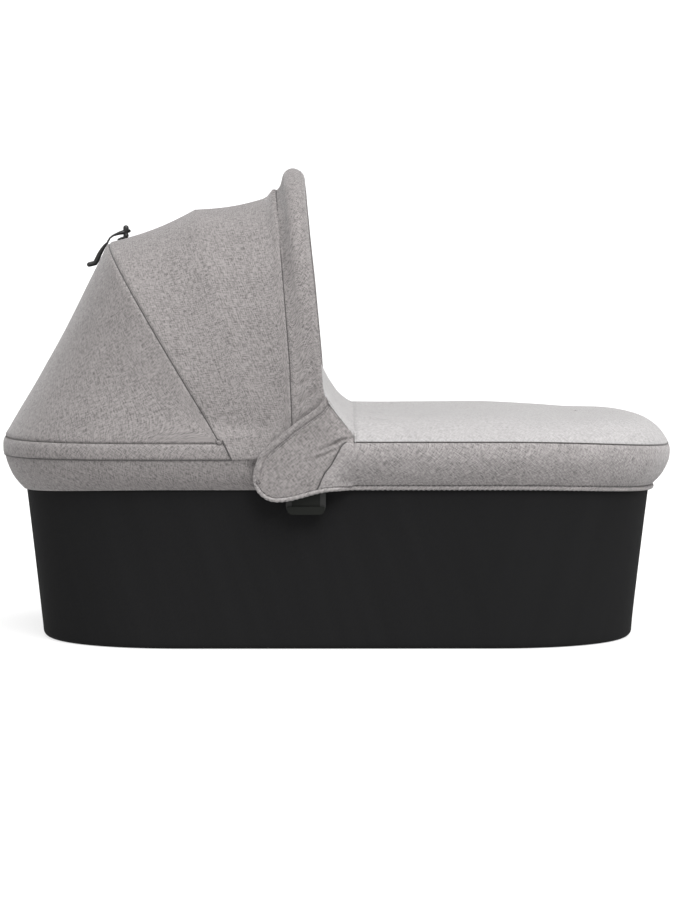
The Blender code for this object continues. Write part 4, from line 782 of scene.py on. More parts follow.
@dataclass(frozen=True)
class Board:
    """Pressed board with a fibrous, mottled face."""

    colour: Colour
    fibre_sizes: Triple = (0.004, 0.0008, 0.001)
    detail: float = 4.0
    contrast: float = 0.3
    depth: float = 0.0001
    roughness: float = 0.8

    def make(self, name: str) -> bpy.types.Material:
        """Make the material."""
        graph = NodeGraph(name)
        fibre = graph.stretched_noise(graph.object_places(), self.fibre_sizes, self.detail)
        colour = graph.mix(fibre, shade(self.colour, -self.contrast), shade(self.colour, self.contrast))
        graph.bump(fibre, self.depth)
        return graph.finish(Base_Color=colour, Roughness=self.roughness)


class Grain(Enum):
    """How far a panel's threads are turned from its rows."""

    STRAIGHT = radians(8)
    SLANTED = radians(32)
    BIAS = radians(48)


GREY: Colour = (0.188, 0.177, 0.175)
# The same cloth as GREY, made darker for the hood, visor, head band and wings: painted shade that tones
# down the light on the hood.
PAINTED_SHADE_HOOD_GREY: Colour = (0.150, 0.140, 0.138)
# The same cloth as GREY, made lighter for the apron top and the collar: painted light on their upward
# faces.
PAINTED_LIGHT_TOP_GREY: Colour = (0.260, 0.253, 0.252)
BLACK: Colour = (0.0085, 0.0085, 0.0088)
WHITE = (1.0, 1.0, 1.0, 1.0)
# Painted shadow: the seams' dark cords are the grey cloth darkened to stand in for the shade in their
# grooves.
PAINTED_SEAM_SHADOW_SHARE = 0.28
THREAD_SHADE_SHARE = 0.75

CLOTHS: dict[str, Melange] = {
    # The hood panels, visor, head band and wings take the darker grey: painted shade.
    "hood_rear": Melange(PAINTED_SHADE_HOOD_GREY, Grain.BIAS.value),
    "hood_front": Melange(PAINTED_SHADE_HOOD_GREY, Grain.STRAIGHT.value),
    "visor": Melange(PAINTED_SHADE_HOOD_GREY, Grain.SLANTED.value),
    "band": Melange(PAINTED_SHADE_HOOD_GREY, Grain.SLANTED.value),
    "apron": Melange(GREY, Grain.SLANTED.value),
    # The apron top and the collar take the lighter grey with weaker flecks: painted light washing out
    # their upward faces.
    "apron_top": Melange(PAINTED_LIGHT_TOP_GREY, Grain.SLANTED.value, contrast=0.45),
    "wing": Melange(PAINTED_SHADE_HOOD_GREY, Grain.BIAS.value),
    "piping": Melange(GREY, Grain.BIAS.value, slub_length=0.004),
    # The seams' dark cords: grey darkened as painted shadow of the grooves and folds.
    "seam": Melange(tuple(part * PAINTED_SEAM_SHADOW_SHARE for part in GREY), Grain.BIAS.value),
    "thread": Melange(tuple(part * THREAD_SHADE_SHARE for part in GREY), Grain.BIAS.value),
}
TUB_CLOTH = Twill(BLACK)
JERSEY = Twill((0.30, 0.30, 0.31), rib=0.0009, contrast=0.10, sheen=0.1)
QUILT = Twill((0.62, 0.62, 0.60), rib=0.0008, contrast=0.06, sheen=0.1)
BLACK_PLASTIC = Moulded((0.0055, 0.0055, 0.0052), roughness=0.6)
TAB_PLASTIC = Moulded((0.0062, 0.0068, 0.0058), roughness=0.6, specular=0.12)
RUBBER = Moulded((0.009, 0.009, 0.009), roughness=0.45)
ALUMINIUM = Metal((0.62, 0.62, 0.63))
STEEL = Metal((0.55, 0.55, 0.56), roughness=0.25, line_sizes=(0.0004, 0.02, 0.0004))
HARDBOARD = Board((0.16, 0.10, 0.06))

NODE_FINISHES: dict[str, Moulded | Metal | Board] = {
    "base_board": HARDBOARD,
    "rim_tube_head": ALUMINIUM,
    "rim_tube_foot": ALUMINIUM,
    "side_housing": BLACK_PLASTIC,
    "housing_screw": STEEL,
    "hub_pin": STEEL,
    "hub_cap": BLACK_PLASTIC,
    "rear_bow": BLACK_PLASTIC,
    "middle_bow": BLACK_PLASTIC,
    "front_bow": BLACK_PLASTIC,
    "visor_wire": BLACK_PLASTIC,
    "release_lever": TAB_PLASTIC,
    "lever_spring": STEEL,
}


def cloth(name: str) -> bpy.types.Material:
    """Give a melange cloth's material, made once."""
    key = f"{name}_cloth"
    return bpy.data.materials.get(key) or CLOTHS[name].make(key)


def dress_nodes() -> None:
    """Give the CAD nodes that stay their materials."""
    for name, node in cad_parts.items():
        for key, finish in NODE_FINISHES.items():
            if name.startswith(key):
                made = bpy.data.materials.get(key) or finish.make(key)
                for place in node.material_slots:
                    place.material = made
                LOG.info("%s gets its finish", name)


def seat(piece: bpy.types.Object, body: str, slot: str, *nodes: str) -> bpy.types.Object:
    """Fit a finished piece into the frame.

    Args:
        piece: The piece, in place.
        body: The body that it moves with.
        slot: Not used.
        *nodes: The CAD nodes that it stands for.

    Returns:
        The piece.
    """
    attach(piece, body)
    if nodes:
        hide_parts(*nodes)
    LOG.info("%s rides on %s", piece.name, body)
    return piece


def stitches(name: str, points: np.ndarray, normals: np.ndarray, length: float = 0.0026,
             gap: float = 0.0010, radius: float = 0.00022) -> bpy.types.Object:
    """Sew a row of stitches along a line on cloth.

    Args:
        name: The piece's name.
        points: The line's points on the cloth.
        normals: The cloth's outward direction at each point.
        length: One stitch.
        gap: The cloth between two stitches.
        radius: The thread.

    Returns:
        The row of stitches as one piece.
    """
    lengths = lengths_along(points)
    count = int(lengths[-1] / (length + gap))
    skin = Skin()
    for index in range(count):
        start = index * (length + gap)
        at = np.array([start, start + length / 4, start + 3 * length / 4, start + length])
        lifts = np.array([-radius, radius / 2, radius / 2, -radius])[:, None]
        path = read_at(at, lengths, points) + read_at(at, lengths, normals) * lifts
        stitch = tube([Vector(place) for place in path], radius, sides=5, round_ends=False)
        skin.add(stitch, caps=(True, True))
    return skin.make(name, cloth("thread"))


def stitch_row(name: str, surface: Surface, row: int, body: str, slot: str) -> bpy.types.Object:
    """Sew stitches along a row of a surface and seat them."""
    return seat(stitches(name, surface.points[row], surface.normals()[row]), body, slot)


# Tub

class Station(NamedTuple):
    """A place on the tub's outline: x on a straight side, the end it leads to, and the turn there."""

    x: float
    end: int
    turn: float


@dataclass(frozen=True)
class TubPlan:
    """Sizes of the tub, and where its wall is."""

    rim_top: float = 0.255
    floor_half_length: float = 0.371
    rim_half_length: float = 0.401
    floor_half_width: float = 0.166
    rim_half_width: float = 0.190
    straight_half_length: float = 0.185
    end_roundness: float = 2.25
    wall: float = 0.003
    edge_radius: float = 0.006
    hollow: float = 0.0012
    tube_radius: float = 0.008
    tube_play: float = 0.0005
    roll_lip: float = 0.008
    lining: float = 0.003
    lining_bottom: float = 0.009
    lining_bend_drop: float = 0.055

    @property
    def roll_radius(self) -> float:
        """Give the outer radius of the roll over the rim tube."""
        return self.tube_radius + self.tube_play + self.wall

    @property
    def tube_height(self) -> float:
        """Give the height of the rim tube's middle."""
        return self.rim_top - self.roll_radius

    def wall_point(self, station: Station, height: float, offset: float = 0.0) -> Vector:
        """Give the point of the outer wall at a station and height, moved out by an offset."""
        share = height / self.rim_top
        spread = self.rim_half_length - self.floor_half_length
        length = self.floor_half_length + spread * share - self.straight_half_length
        width = self.half_width(height)
        power = 2 / self.end_roundness
        along, across = abs(cos(station.turn)), abs(sin(station.turn))
        side = copysign(1.0, station.turn)
        normal = Vector((station.end * along ** (2 - power) / length,
                         side * across ** (2 - power) / width, 0))
        base = Vector((station.x + station.end * length * along ** power,
                       side * width * across ** power, height))
        return base + normal.normalized() * offset

    def rim_point(self, station: Station, rise: float, offset: float) -> Vector:
        """Give a point near the rim, its offset taken from the wall at the tube's height."""
        return self.wall_point(station, self.tube_height, offset) + Vector((0, 0, rise))

    def half_width(self, height: float) -> float:
        """Give the half-width on the straight sides at a height."""
        spread = self.rim_half_width - self.floor_half_width
        return self.floor_half_width + spread * height / self.rim_top

    def end_arc(self, end: int, steps: int) -> list[Station]:
        """Give the stations round one end, anticlockwise seen from above."""
        turns = [(-pi / 2 + pi * step / (2 * steps)) * end for step in range(2 * steps + 1)]
        return [Station(end * self.straight_half_length, end, turn) for turn in turns]

    def closed_stations(self, arc_steps: int, side_steps: int) -> list[Station]:
        """Give the stations all round, anticlockwise from the left side's foot end."""
        stations = []
        for end in (1, -1):
            stations += self.end_arc(end, arc_steps)
            for step in range(1, side_steps):
                x = end * self.straight_half_length * (1 - 2 * step / side_steps)
                stations.append(Station(x, end, end * pi / 2))
        return stations

    def end_stations(self, start_x: float, end: int, side_steps: int,
                     arc_steps: int) -> list[Station]:
        """Give the stations from one side at start_x round an end to the other side."""
        arc = self.end_arc(end, arc_steps)
        stop = end * self.straight_half_length
        before = [start_x + (stop - start_x) * step / side_steps for step in range(side_steps)]
        lead = [Station(x, end, arc[0].turn) for x in before]
        trail = [Station(x, end, arc[-1].turn) for x in reversed(before)]
        return lead + arc + trail


TUB = TubPlan()


@dataclass
class TubCover:
    """The black cloth tub with the roll over its rim, and the lining inside it."""

    arc_steps: int = 34
    side_steps: int = 44
    edge_steps: int = 5
    wall_rows: int = 32
    roll_steps: int = 12
    ripple: float = 0.0005
    ripple_reach: float = 0.06
    ripple_stretch: Triple = (1.0, 1.0, 0.25)
    ripple_start: float = 0.024
    pucker_x: float = 0.3210
    pucker_top: float = 0.2000
    pucker_bottom: float = 0.1780
    pucker_depth: float = 0.0016
    pucker_width: float = 0.0035
    notch_rear: float = -0.1153
    notch_front: float = -0.0117
    notch_floor: float = 0.2132
    notch_inner: float = 0.1657
    notch_outer: float = 0.1930
    lining_rows: int = 14
    lining_ripple: float = 0.001
    lining_calm: float = 0.03

    def wall_rows_points(self, stations: list[Station]) -> list[Line]:
        """Give the rows of the outside, from the floor's edge over the roll to its lip."""
        rows = []
        radius = TUB.edge_radius
        for step in range(self.edge_steps + 1):
            angle = pi / 2 * step / self.edge_steps
            rows.append([TUB.wall_point(s, radius * (1 - cos(angle)), -radius * (1 - sin(angle)))
                         for s in stations])
        for row in range(1, self.wall_rows):
            height = radius + (TUB.tube_height - radius) * row / self.wall_rows
            pull = TUB.hollow * sin(pi * height / TUB.tube_height)
            rows.append([TUB.wall_point(s, height, -pull * abs(cos(s.turn))) for s in stations])
        for step in range(self.roll_steps + 1):
            angle = pi * step / self.roll_steps
            inset = TUB.roll_radius * (1 - cos(angle))
            rows.append([TUB.rim_point(s, TUB.roll_radius * sin(angle), -inset) for s in stations])
        rows.append([TUB.rim_point(s, -TUB.roll_lip, -2 * TUB.roll_radius) for s in stations])
        return rows

    def build_cover(self) -> bpy.types.Object:
        """Build the tub's cloth wall, floor and rim roll."""
        stations = TUB.closed_stations(self.arc_steps, self.side_steps)
        surface = Surface(self.wall_rows_points(stations), closed=True)
        points = surface.points
        wall = smooth_array(points[..., 2], TUB.edge_radius, self.ripple_start)
        wall *= 1 - smooth_array(points[..., 2], TUB.tube_height - TUB.roll_radius, TUB.tube_height)
        lift = rumple(points, self.ripple_reach, Seed.TUB, self.ripple_stretch) * self.ripple
        ends = smooth_array(np.abs(points[..., 0]), TUB.straight_half_length, TUB.floor_half_length)
        lift = lift * (1 + ends)
        for side in SIDES.values():
            pucker = Crease(((self.pucker_x, self.pucker_top), (self.pucker_x, self.pucker_bottom)),
                            -self.pucker_depth, self.pucker_width, side=side)
            lift = lift + pucker.lift(points)
        surface.raise_by(lift * wall)
        cover = Skin().add(surface, TUB.wall, caps=(True, False)).make("tub_cover",
                                                                      TUB_CLOTH.make("tub_cloth"))
        self.cut_notches(cover)
        return seat(cover, "tub", "tub_shell", "tub_shell")

    def cut_notches(self, piece: bpy.types.Object) -> None:
        """Cut the two gaps that the side housings fill out of the rim."""
        for side_name, side in SIDES.items():
            low = Vector((self.notch_rear, self.notch_inner - TUB.lining, self.notch_floor))
            high = Vector((self.notch_front, self.notch_outer, TUB.rim_top + TUB.lining))
            corners = [Vector((x, side * y, z)) for z in (low.z, high.z)
                       for x, y in ((low.x, low.y), (high.x, low.y), (high.x, high.y), (low.x, high.y))]
            faces = [(3, 2, 1, 0), (4, 5, 6, 7), (0, 1, 5, 4), (1, 2, 6, 5), (2, 3, 7, 6), (3, 0, 4, 7)]
            if side < 0:
                faces = [tuple(reversed(face)) for face in faces]
            mesh = bpy.data.meshes.new(f"notch_{side_name}")
            mesh.from_pydata(corners, [], faces)
            cutter = add_object(mesh.name, mesh)
            apply_step(piece, "BOOLEAN", object=cutter, operation="DIFFERENCE", solver="EXACT")
            bpy.data.objects.remove(cutter, do_unlink=True)

    def build_lining(self) -> bpy.types.Object:
        """Build the jersey lining, which slopes in under the rim tube to the roll's lip."""
        stations = TUB.closed_stations(self.arc_steps, self.side_steps)
        back = -(TUB.wall + FIT + TUB.hollow)
        top_offset = -(2 * TUB.roll_radius - TUB.wall)
        bend = TUB.rim_top - TUB.lining_bend_drop
        rows = []
        for row in range(self.lining_rows + 1):
            height = TUB.lining_bottom + (bend - TUB.lining_bottom) * row / self.lining_rows
            rows.append([TUB.wall_point(s, height, back) for s in stations])
        top = [TUB.rim_point(s, -TUB.roll_lip - FIT, top_offset) for s in stations]
        for row in range(1, self.edge_steps + 1):
            share = row / self.edge_steps
            rows.append([low.lerp(high, share) for low, high in zip(rows[self.lining_rows], top)])
        surface = Surface(rows, closed=True)
        inward = -np.abs(rumple(surface.points, self.ripple_reach, Seed.LINING)) * self.lining_ripple
        surface.raise_by(inward * surface.calm(self.lining_calm, self.lining_calm))
        lining = Skin().add(surface, TUB.lining).make("lining_cloth", JERSEY.make("jersey"))
        self.cut_notches(lining)
        return seat(lining, "tub", "tub_lining", "tub_lining")


# Hood

@dataclass(frozen=True)
class Bow:
    """One hood bow: where its arm bends, where its top is, and its distance from the middle."""

    elbow: Vector
    apex: Vector
    span: float
    lean: float = 0.0
    roundness: float = 2.5
    strip: float = 0.0022

    @property
    def up(self) -> Vector:
        """Give the direction in the bow's plane from the elbow to the apex."""
        return (self.apex - self.elbow).normalized()

    @property
    def ahead(self) -> Vector:
        """Give the bow plane's normal, towards the foot end."""
        up = self.up
        return Vector((up.z, 0, -up.x))

    def point(self, turn: float) -> Vector:
        """Give the centre line at a turn from 0, the left elbow, to pi, the right elbow."""
        power = 2 / self.roundness
        rise = (self.apex - self.elbow).length * abs(sin(turn)) ** power
        side = -copysign(self.span * abs(cos(turn)) ** power, cos(turn))
        return self.elbow + self.up * rise + Vector((0, side, 0))

    def outward(self, turn: float) -> Vector:
        """Give the outward direction square to the bow's line, in its plane."""
        power = 2 / self.roundness
        rise = abs(sin(turn)) ** (2 - power) / (self.apex - self.elbow).length
        side = -copysign(abs(cos(turn)) ** (2 - power) / self.span, cos(turn))
        return (self.up * rise + Vector((0, side, 0))).normalized()

    def line(self, rise: float, shift: float, foot_z: float, steps: int = 160) -> Line:
        """Give a line over the bow.

        Args:
            rise: Its height off the bow's outer face.
            shift: Its place along the bow plane's normal.
            foot_z: The height of its two ends.
            steps: How finely it is drawn.

        Returns:
            The line from the left foot to the right one.
        """
        line = []
        for step in range(steps + 1):
            turn = pi * step / steps
            line.append(self.point(turn) + self.outward(turn) * (rise + self.strip / 2)
                        + self.ahead * shift)
        if line[0].z > foot_z:
            drop = self.up * ((line[0].z - foot_z) / self.up.z)
            return [line[0] - drop] + line + [line[-1] - drop]
        while line[1].z < foot_z:
            line = line[1:-1]
        share = (foot_z - line[0].z) / (line[1].z - line[0].z)
        line[0] = line[0].lerp(line[1], share)
        line[-1] = line[-1].lerp(line[-2], share)
        return line


@dataclass(frozen=True)
class HoodPlan:
    """Sizes that the hood's cloth and the head band share."""

    hub_x: float = -0.082
    hub_z: float = 0.226
    eye_pitch: float = 0.0029
    front_lean: float = 0.0042
    top_lean_share: float = 0.4
    lean_full: float = 0.35
    lean_power: int = 6
    rear_elbow: Pair = (-0.0565, 0.0285)
    rear_apex: Pair = (-0.1990, 0.2630)
    middle_apex: Pair = (-0.0955, 0.3035)
    middle_elbow_rise: float = 0.034
    front_elbow: Pair = (0.0246, 0.0583)
    front_apex: Pair = (0.0035, 0.3220)
    rear_span: float = 0.1926
    cloth: float = 0.002
    foot_z: float = 0.2558
    land: float = 0.003
    flare_height: float = 0.026
    hem_side: float = 0.198
    hem_end: float = 0.187
    seam_side: float = 0.2555
    seam_end: float = 0.251
    bulge: float = 0.0205
    stand: float = 0.0026
    front: float = -0.0980
    top_front: float = -0.0780
    top_reach_share: float = 0.7
    tuck: float = 0.0040
    tuck_length: float = 0.052
    shape_shares: tuple[Pair, ...] = ((0.0, 0.0), (0.12, 0.34), (0.3, 0.70), (0.6, 1.0),
                                      (0.85, 0.98), (1.0, 0.84))
    gather: float = 0.0072
    gather_start: float = 0.475
    gather_full: float = 0.548
    gather_reach: float = 0.0085
    gather_pitch: float = 0.011
    gather_wave_share: float = 0.16
    pocket: tuple[Crease, ...] = (
        Crease(((-0.0860, 0.2830), (-0.0950, 0.2660), (-0.1060, 0.2470), (-0.1120, 0.2330)),
               -0.0030, 0.0065),
        Crease(((-0.1130, 0.2400), (-0.1080, 0.2250), (-0.1020, 0.2050)), -0.0030, 0.0060),
        Crease(((-0.1020, 0.2350), (-0.1010, 0.2280), (-0.1000, 0.2200)), -0.0050, 0.0062),
    )

    def gather_lift(self, points: np.ndarray, from_seam: np.ndarray) -> np.ndarray:
        """Give how far the bunched cloth stands up near the top of the front seam."""
        crown = smooth_array(points[..., 2], self.gather_start, self.gather_full)
        near = np.exp(-(from_seam / self.gather_reach) ** 2)
        ripple = 1 + self.gather_wave_share * np.sin(points[..., 1] * 2 * pi / self.gather_pitch)
        return self.gather * crown * near * ripple

    def pocket_lift(self, points: np.ndarray) -> np.ndarray:
        """Give how far the cloth is drawn in beside the wing flaps."""
        return sum(crease.lift(points) for crease in self.pocket)

    def bow(self, elbow: Pair, apex: Pair, place: int, lean: float = 0.0) -> Bow:
        """Make a bow from its elbow and apex, measured from the hinge, and its place on the pin."""
        return Bow(Vector((self.hub_x + elbow[0], 0, self.hub_z + elbow[1])),
                   Vector((self.hub_x + apex[0], 0, self.hub_z + apex[1])),
                   self.rear_span + place * self.eye_pitch, lean)

    @property
    def rear(self) -> Bow:
        """Give the rear bow."""
        return self.bow(self.rear_elbow, self.rear_apex, 0)

    @property
    def middle(self) -> Bow:
        """Give the middle bow, whose arm is straight."""
        x, z = self.middle_apex
        rise = self.middle_elbow_rise
        return self.bow((x * rise / z, rise), self.middle_apex, 1)

    @property
    def front_bow(self) -> Bow:
        """Give the front bow."""
        return self.bow(self.front_elbow, self.front_apex, 2, self.front_lean)

    def band_offset(self, share: float, bulge: float | None = None) -> float:
        """Give how far a band stands out from the wall at a share of its height."""
        full = self.bulge if bulge is None else bulge
        return self.stand + (full - self.stand) * read_curve(self.shape_shares, share)

    def band_point(self, station: Station, share: float, offset: float = 0.0) -> Vector:
        """Give a point on the outside of the head band at a share of its height."""
        weight = cos(station.turn) ** 2
        hem = self.hem_side + (self.hem_end - self.hem_side) * weight
        seam = self.seam_side + (self.seam_end - self.seam_side) * weight
        bulge = self.bulge - self.tuck * smoothstep(station.x, self.front - self.tuck_length, self.front)
        return TUB.wall_point(station, hem + (seam - hem) * share,
                              self.band_offset(share, bulge) + offset)

    def over(self, bow: Bow, rise: float, shift: float, count: int, flare: float = 0.0,
             foot_z: float | None = None) -> Line:
        """Give an even line of cloth over a bow, whose feet flare outwards to the band."""
        foot = self.foot_z if foot_z is None else foot_z
        line = resample(bow.line(rise + self.cloth, shift, foot), count)
        for point in line:
            fade = smoothstep(point.z, self.foot_z + self.land, self.foot_z + self.flare_height)
            point.y += copysign(flare * (1 - fade), point.y)
        return [point + bow.ahead * bow.lean * self.lean_share(index, count)
                for index, point in enumerate(line)]

    def lean_share(self, index: int, count: int) -> float:
        """Give the share of a seam's lean at a point: none at its feet, some at its top."""
        across = index / (count - 1)
        crown = 1 - (1 - self.top_lean_share) * sin(pi * across) ** self.lean_power
        return crown * min(sin(pi * across) / self.lean_full, 1.0)

    def drawn_in(self, first: Line, second: Line, share: float, sag: float) -> Line:
        """Give a line between two, drawn in a little halfway towards the hinge."""
        line = []
        for index, (low, high) in enumerate(zip(first, second)):
            middle = sin(pi * index / (len(first) - 1))
            point = low.lerp(high, share)
            pull = Vector((point.x - self.hub_x, point.y, point.z - self.hub_z)).normalized()
            line.append(point - pull * sag * sin(pi * share) * middle)
        return line


HOOD = HoodPlan()


@dataclass
class HeadBand:
    """The cloth band round the head end: a bulging band and the folded strip along its top."""

    cloth: float = 0.0020
    rows: int = 26
    side_steps: int = 22
    arc_steps: int = 44
    strip_low_share: float = 0.67
    strip_rows: int = 12
    fold_rows: int = 2
    fold_low_share: float = 0.35
    strip_wave: float = 0.0004
    strip_wave_reach: float = 0.03
    strip_calm: float = 0.006
    strip_tuck: float = 0.0012
    strip_cloth: float = 0.0011
    strip_proud: float = 0.0016
    strip_front: float = -0.1290
    strip_slant: float = 0.0090
    slant_steps: int = 10
    slant_reach: float = 0.0045
    shadow_cord: float = 0.0010
    shadow_cord_rise_share: float = 0.4
    rumple_height: float = 0.0007
    rumple_reach: float = 0.045
    rumple_stretch: Triple = (1.0, 1.0, 2.2)
    calm: float = 0.012
    hem_turn: float = 0.011
    hem_groove: float = 0.0005
    hem_groove_width: float = 0.0012

    def build_band(self) -> bpy.types.Object:
        """Build the band."""
        rows = []
        for row in range(self.rows + 1):
            share = row / self.rows
            reach = smoothstep(share, HOOD.top_reach_share, 1.0)
            front = HOOD.front + (HOOD.top_front - HOOD.front) * reach
            stations = TUB.end_stations(front, -1, self.side_steps, self.arc_steps)
            rows.append([HOOD.band_point(s, share) for s in stations])
        surface = Surface(rows)
        low = surface.across()
        lift = rumple(surface.points, self.rumple_reach, Seed.BAND, self.rumple_stretch)
        lift = lift * self.rumple_height * surface.calm(self.calm, self.calm)
        lift = lift - self.hem_groove * np.exp(-((low - self.hem_turn) / self.hem_groove_width) ** 2)
        surface.raise_by(lift + HOOD.pocket_lift(surface.points))
        band = Skin().add(surface, self.cloth).make("head_band", cloth("band"))
        seat(band, "tub", "hood_band", "hood_band")
        row = int(np.argmin(np.abs(low[:, low.shape[1] // 2] - self.hem_turn)))
        return stitch_row("band_hem_stitches", surface, row, "tub", "hood_band")

    def strip_place(self, part: float) -> Pair:
        """Give the strip's front and its share of the band's height at a share of its own height."""
        share = self.strip_low_share + (1.0 - self.strip_low_share) * part
        return self.strip_front - self.strip_slant * part, share

    def build_strip(self) -> bpy.types.Object:
        """Build the folded strip along the band's top, with its rounded lower fold."""
        rows = []
        for row in range(self.strip_rows + 1):
            front, share = self.strip_place(row / self.strip_rows)
            stations = TUB.end_stations(front, -1, self.side_steps, self.arc_steps)
            fold = sqrt(min(row / self.fold_rows, 1.0))
            proud = self.strip_proud * (self.fold_low_share + (1 - self.fold_low_share) * fold)
            rows.append([HOOD.band_point(s, share, proud) for s in stations])
        surface = Surface(rows)
        _, high = surface.to_edges()
        wave = rumple(surface.points, self.strip_wave_reach, Seed.STRIP) * self.strip_wave
        surface.raise_by(wave * smooth_array(high, 0.0, self.strip_calm))
        surface.raise_by(-self.strip_tuck * (1 - smooth_array(high, 0.0, HOOD.land)))
        strip = Skin().add(surface, self.strip_cloth).make("band_strip", cloth("band"))
        seat(strip, "tub", "hood_band")
        self.build_strip_seams()
        return strip

    def build_strip_seams(self) -> bpy.types.Object:
        """Build the dark cords under the strip's fold and down its two slanted ends, painted shadow of
        the fold and of the seams.
        """
        stations = TUB.end_stations(self.strip_front, -1, self.side_steps, self.arc_steps)
        fold = [HOOD.band_point(s, self.strip_low_share, self.shadow_cord * self.shadow_cord_rise_share)
                for s in stations]
        skin = bar(fold, self.shadow_cord)
        for corner in (stations[0], stations[-1]):
            end = []
            for step in range(self.slant_steps + 1):
                front, share = self.strip_place(step / self.slant_steps)
                end.append(HOOD.band_point(corner._replace(x=front), share, self.strip_proud))
            end.append(end[-1] + (end[-1] - end[-2]).normalized() * self.slant_reach)
            skin.add(tube(end, self.shadow_cord), caps=(True, True))
        return seat(skin.make("band_strip_seam_shadow", cloth("seam")), "tub", "hood_band")


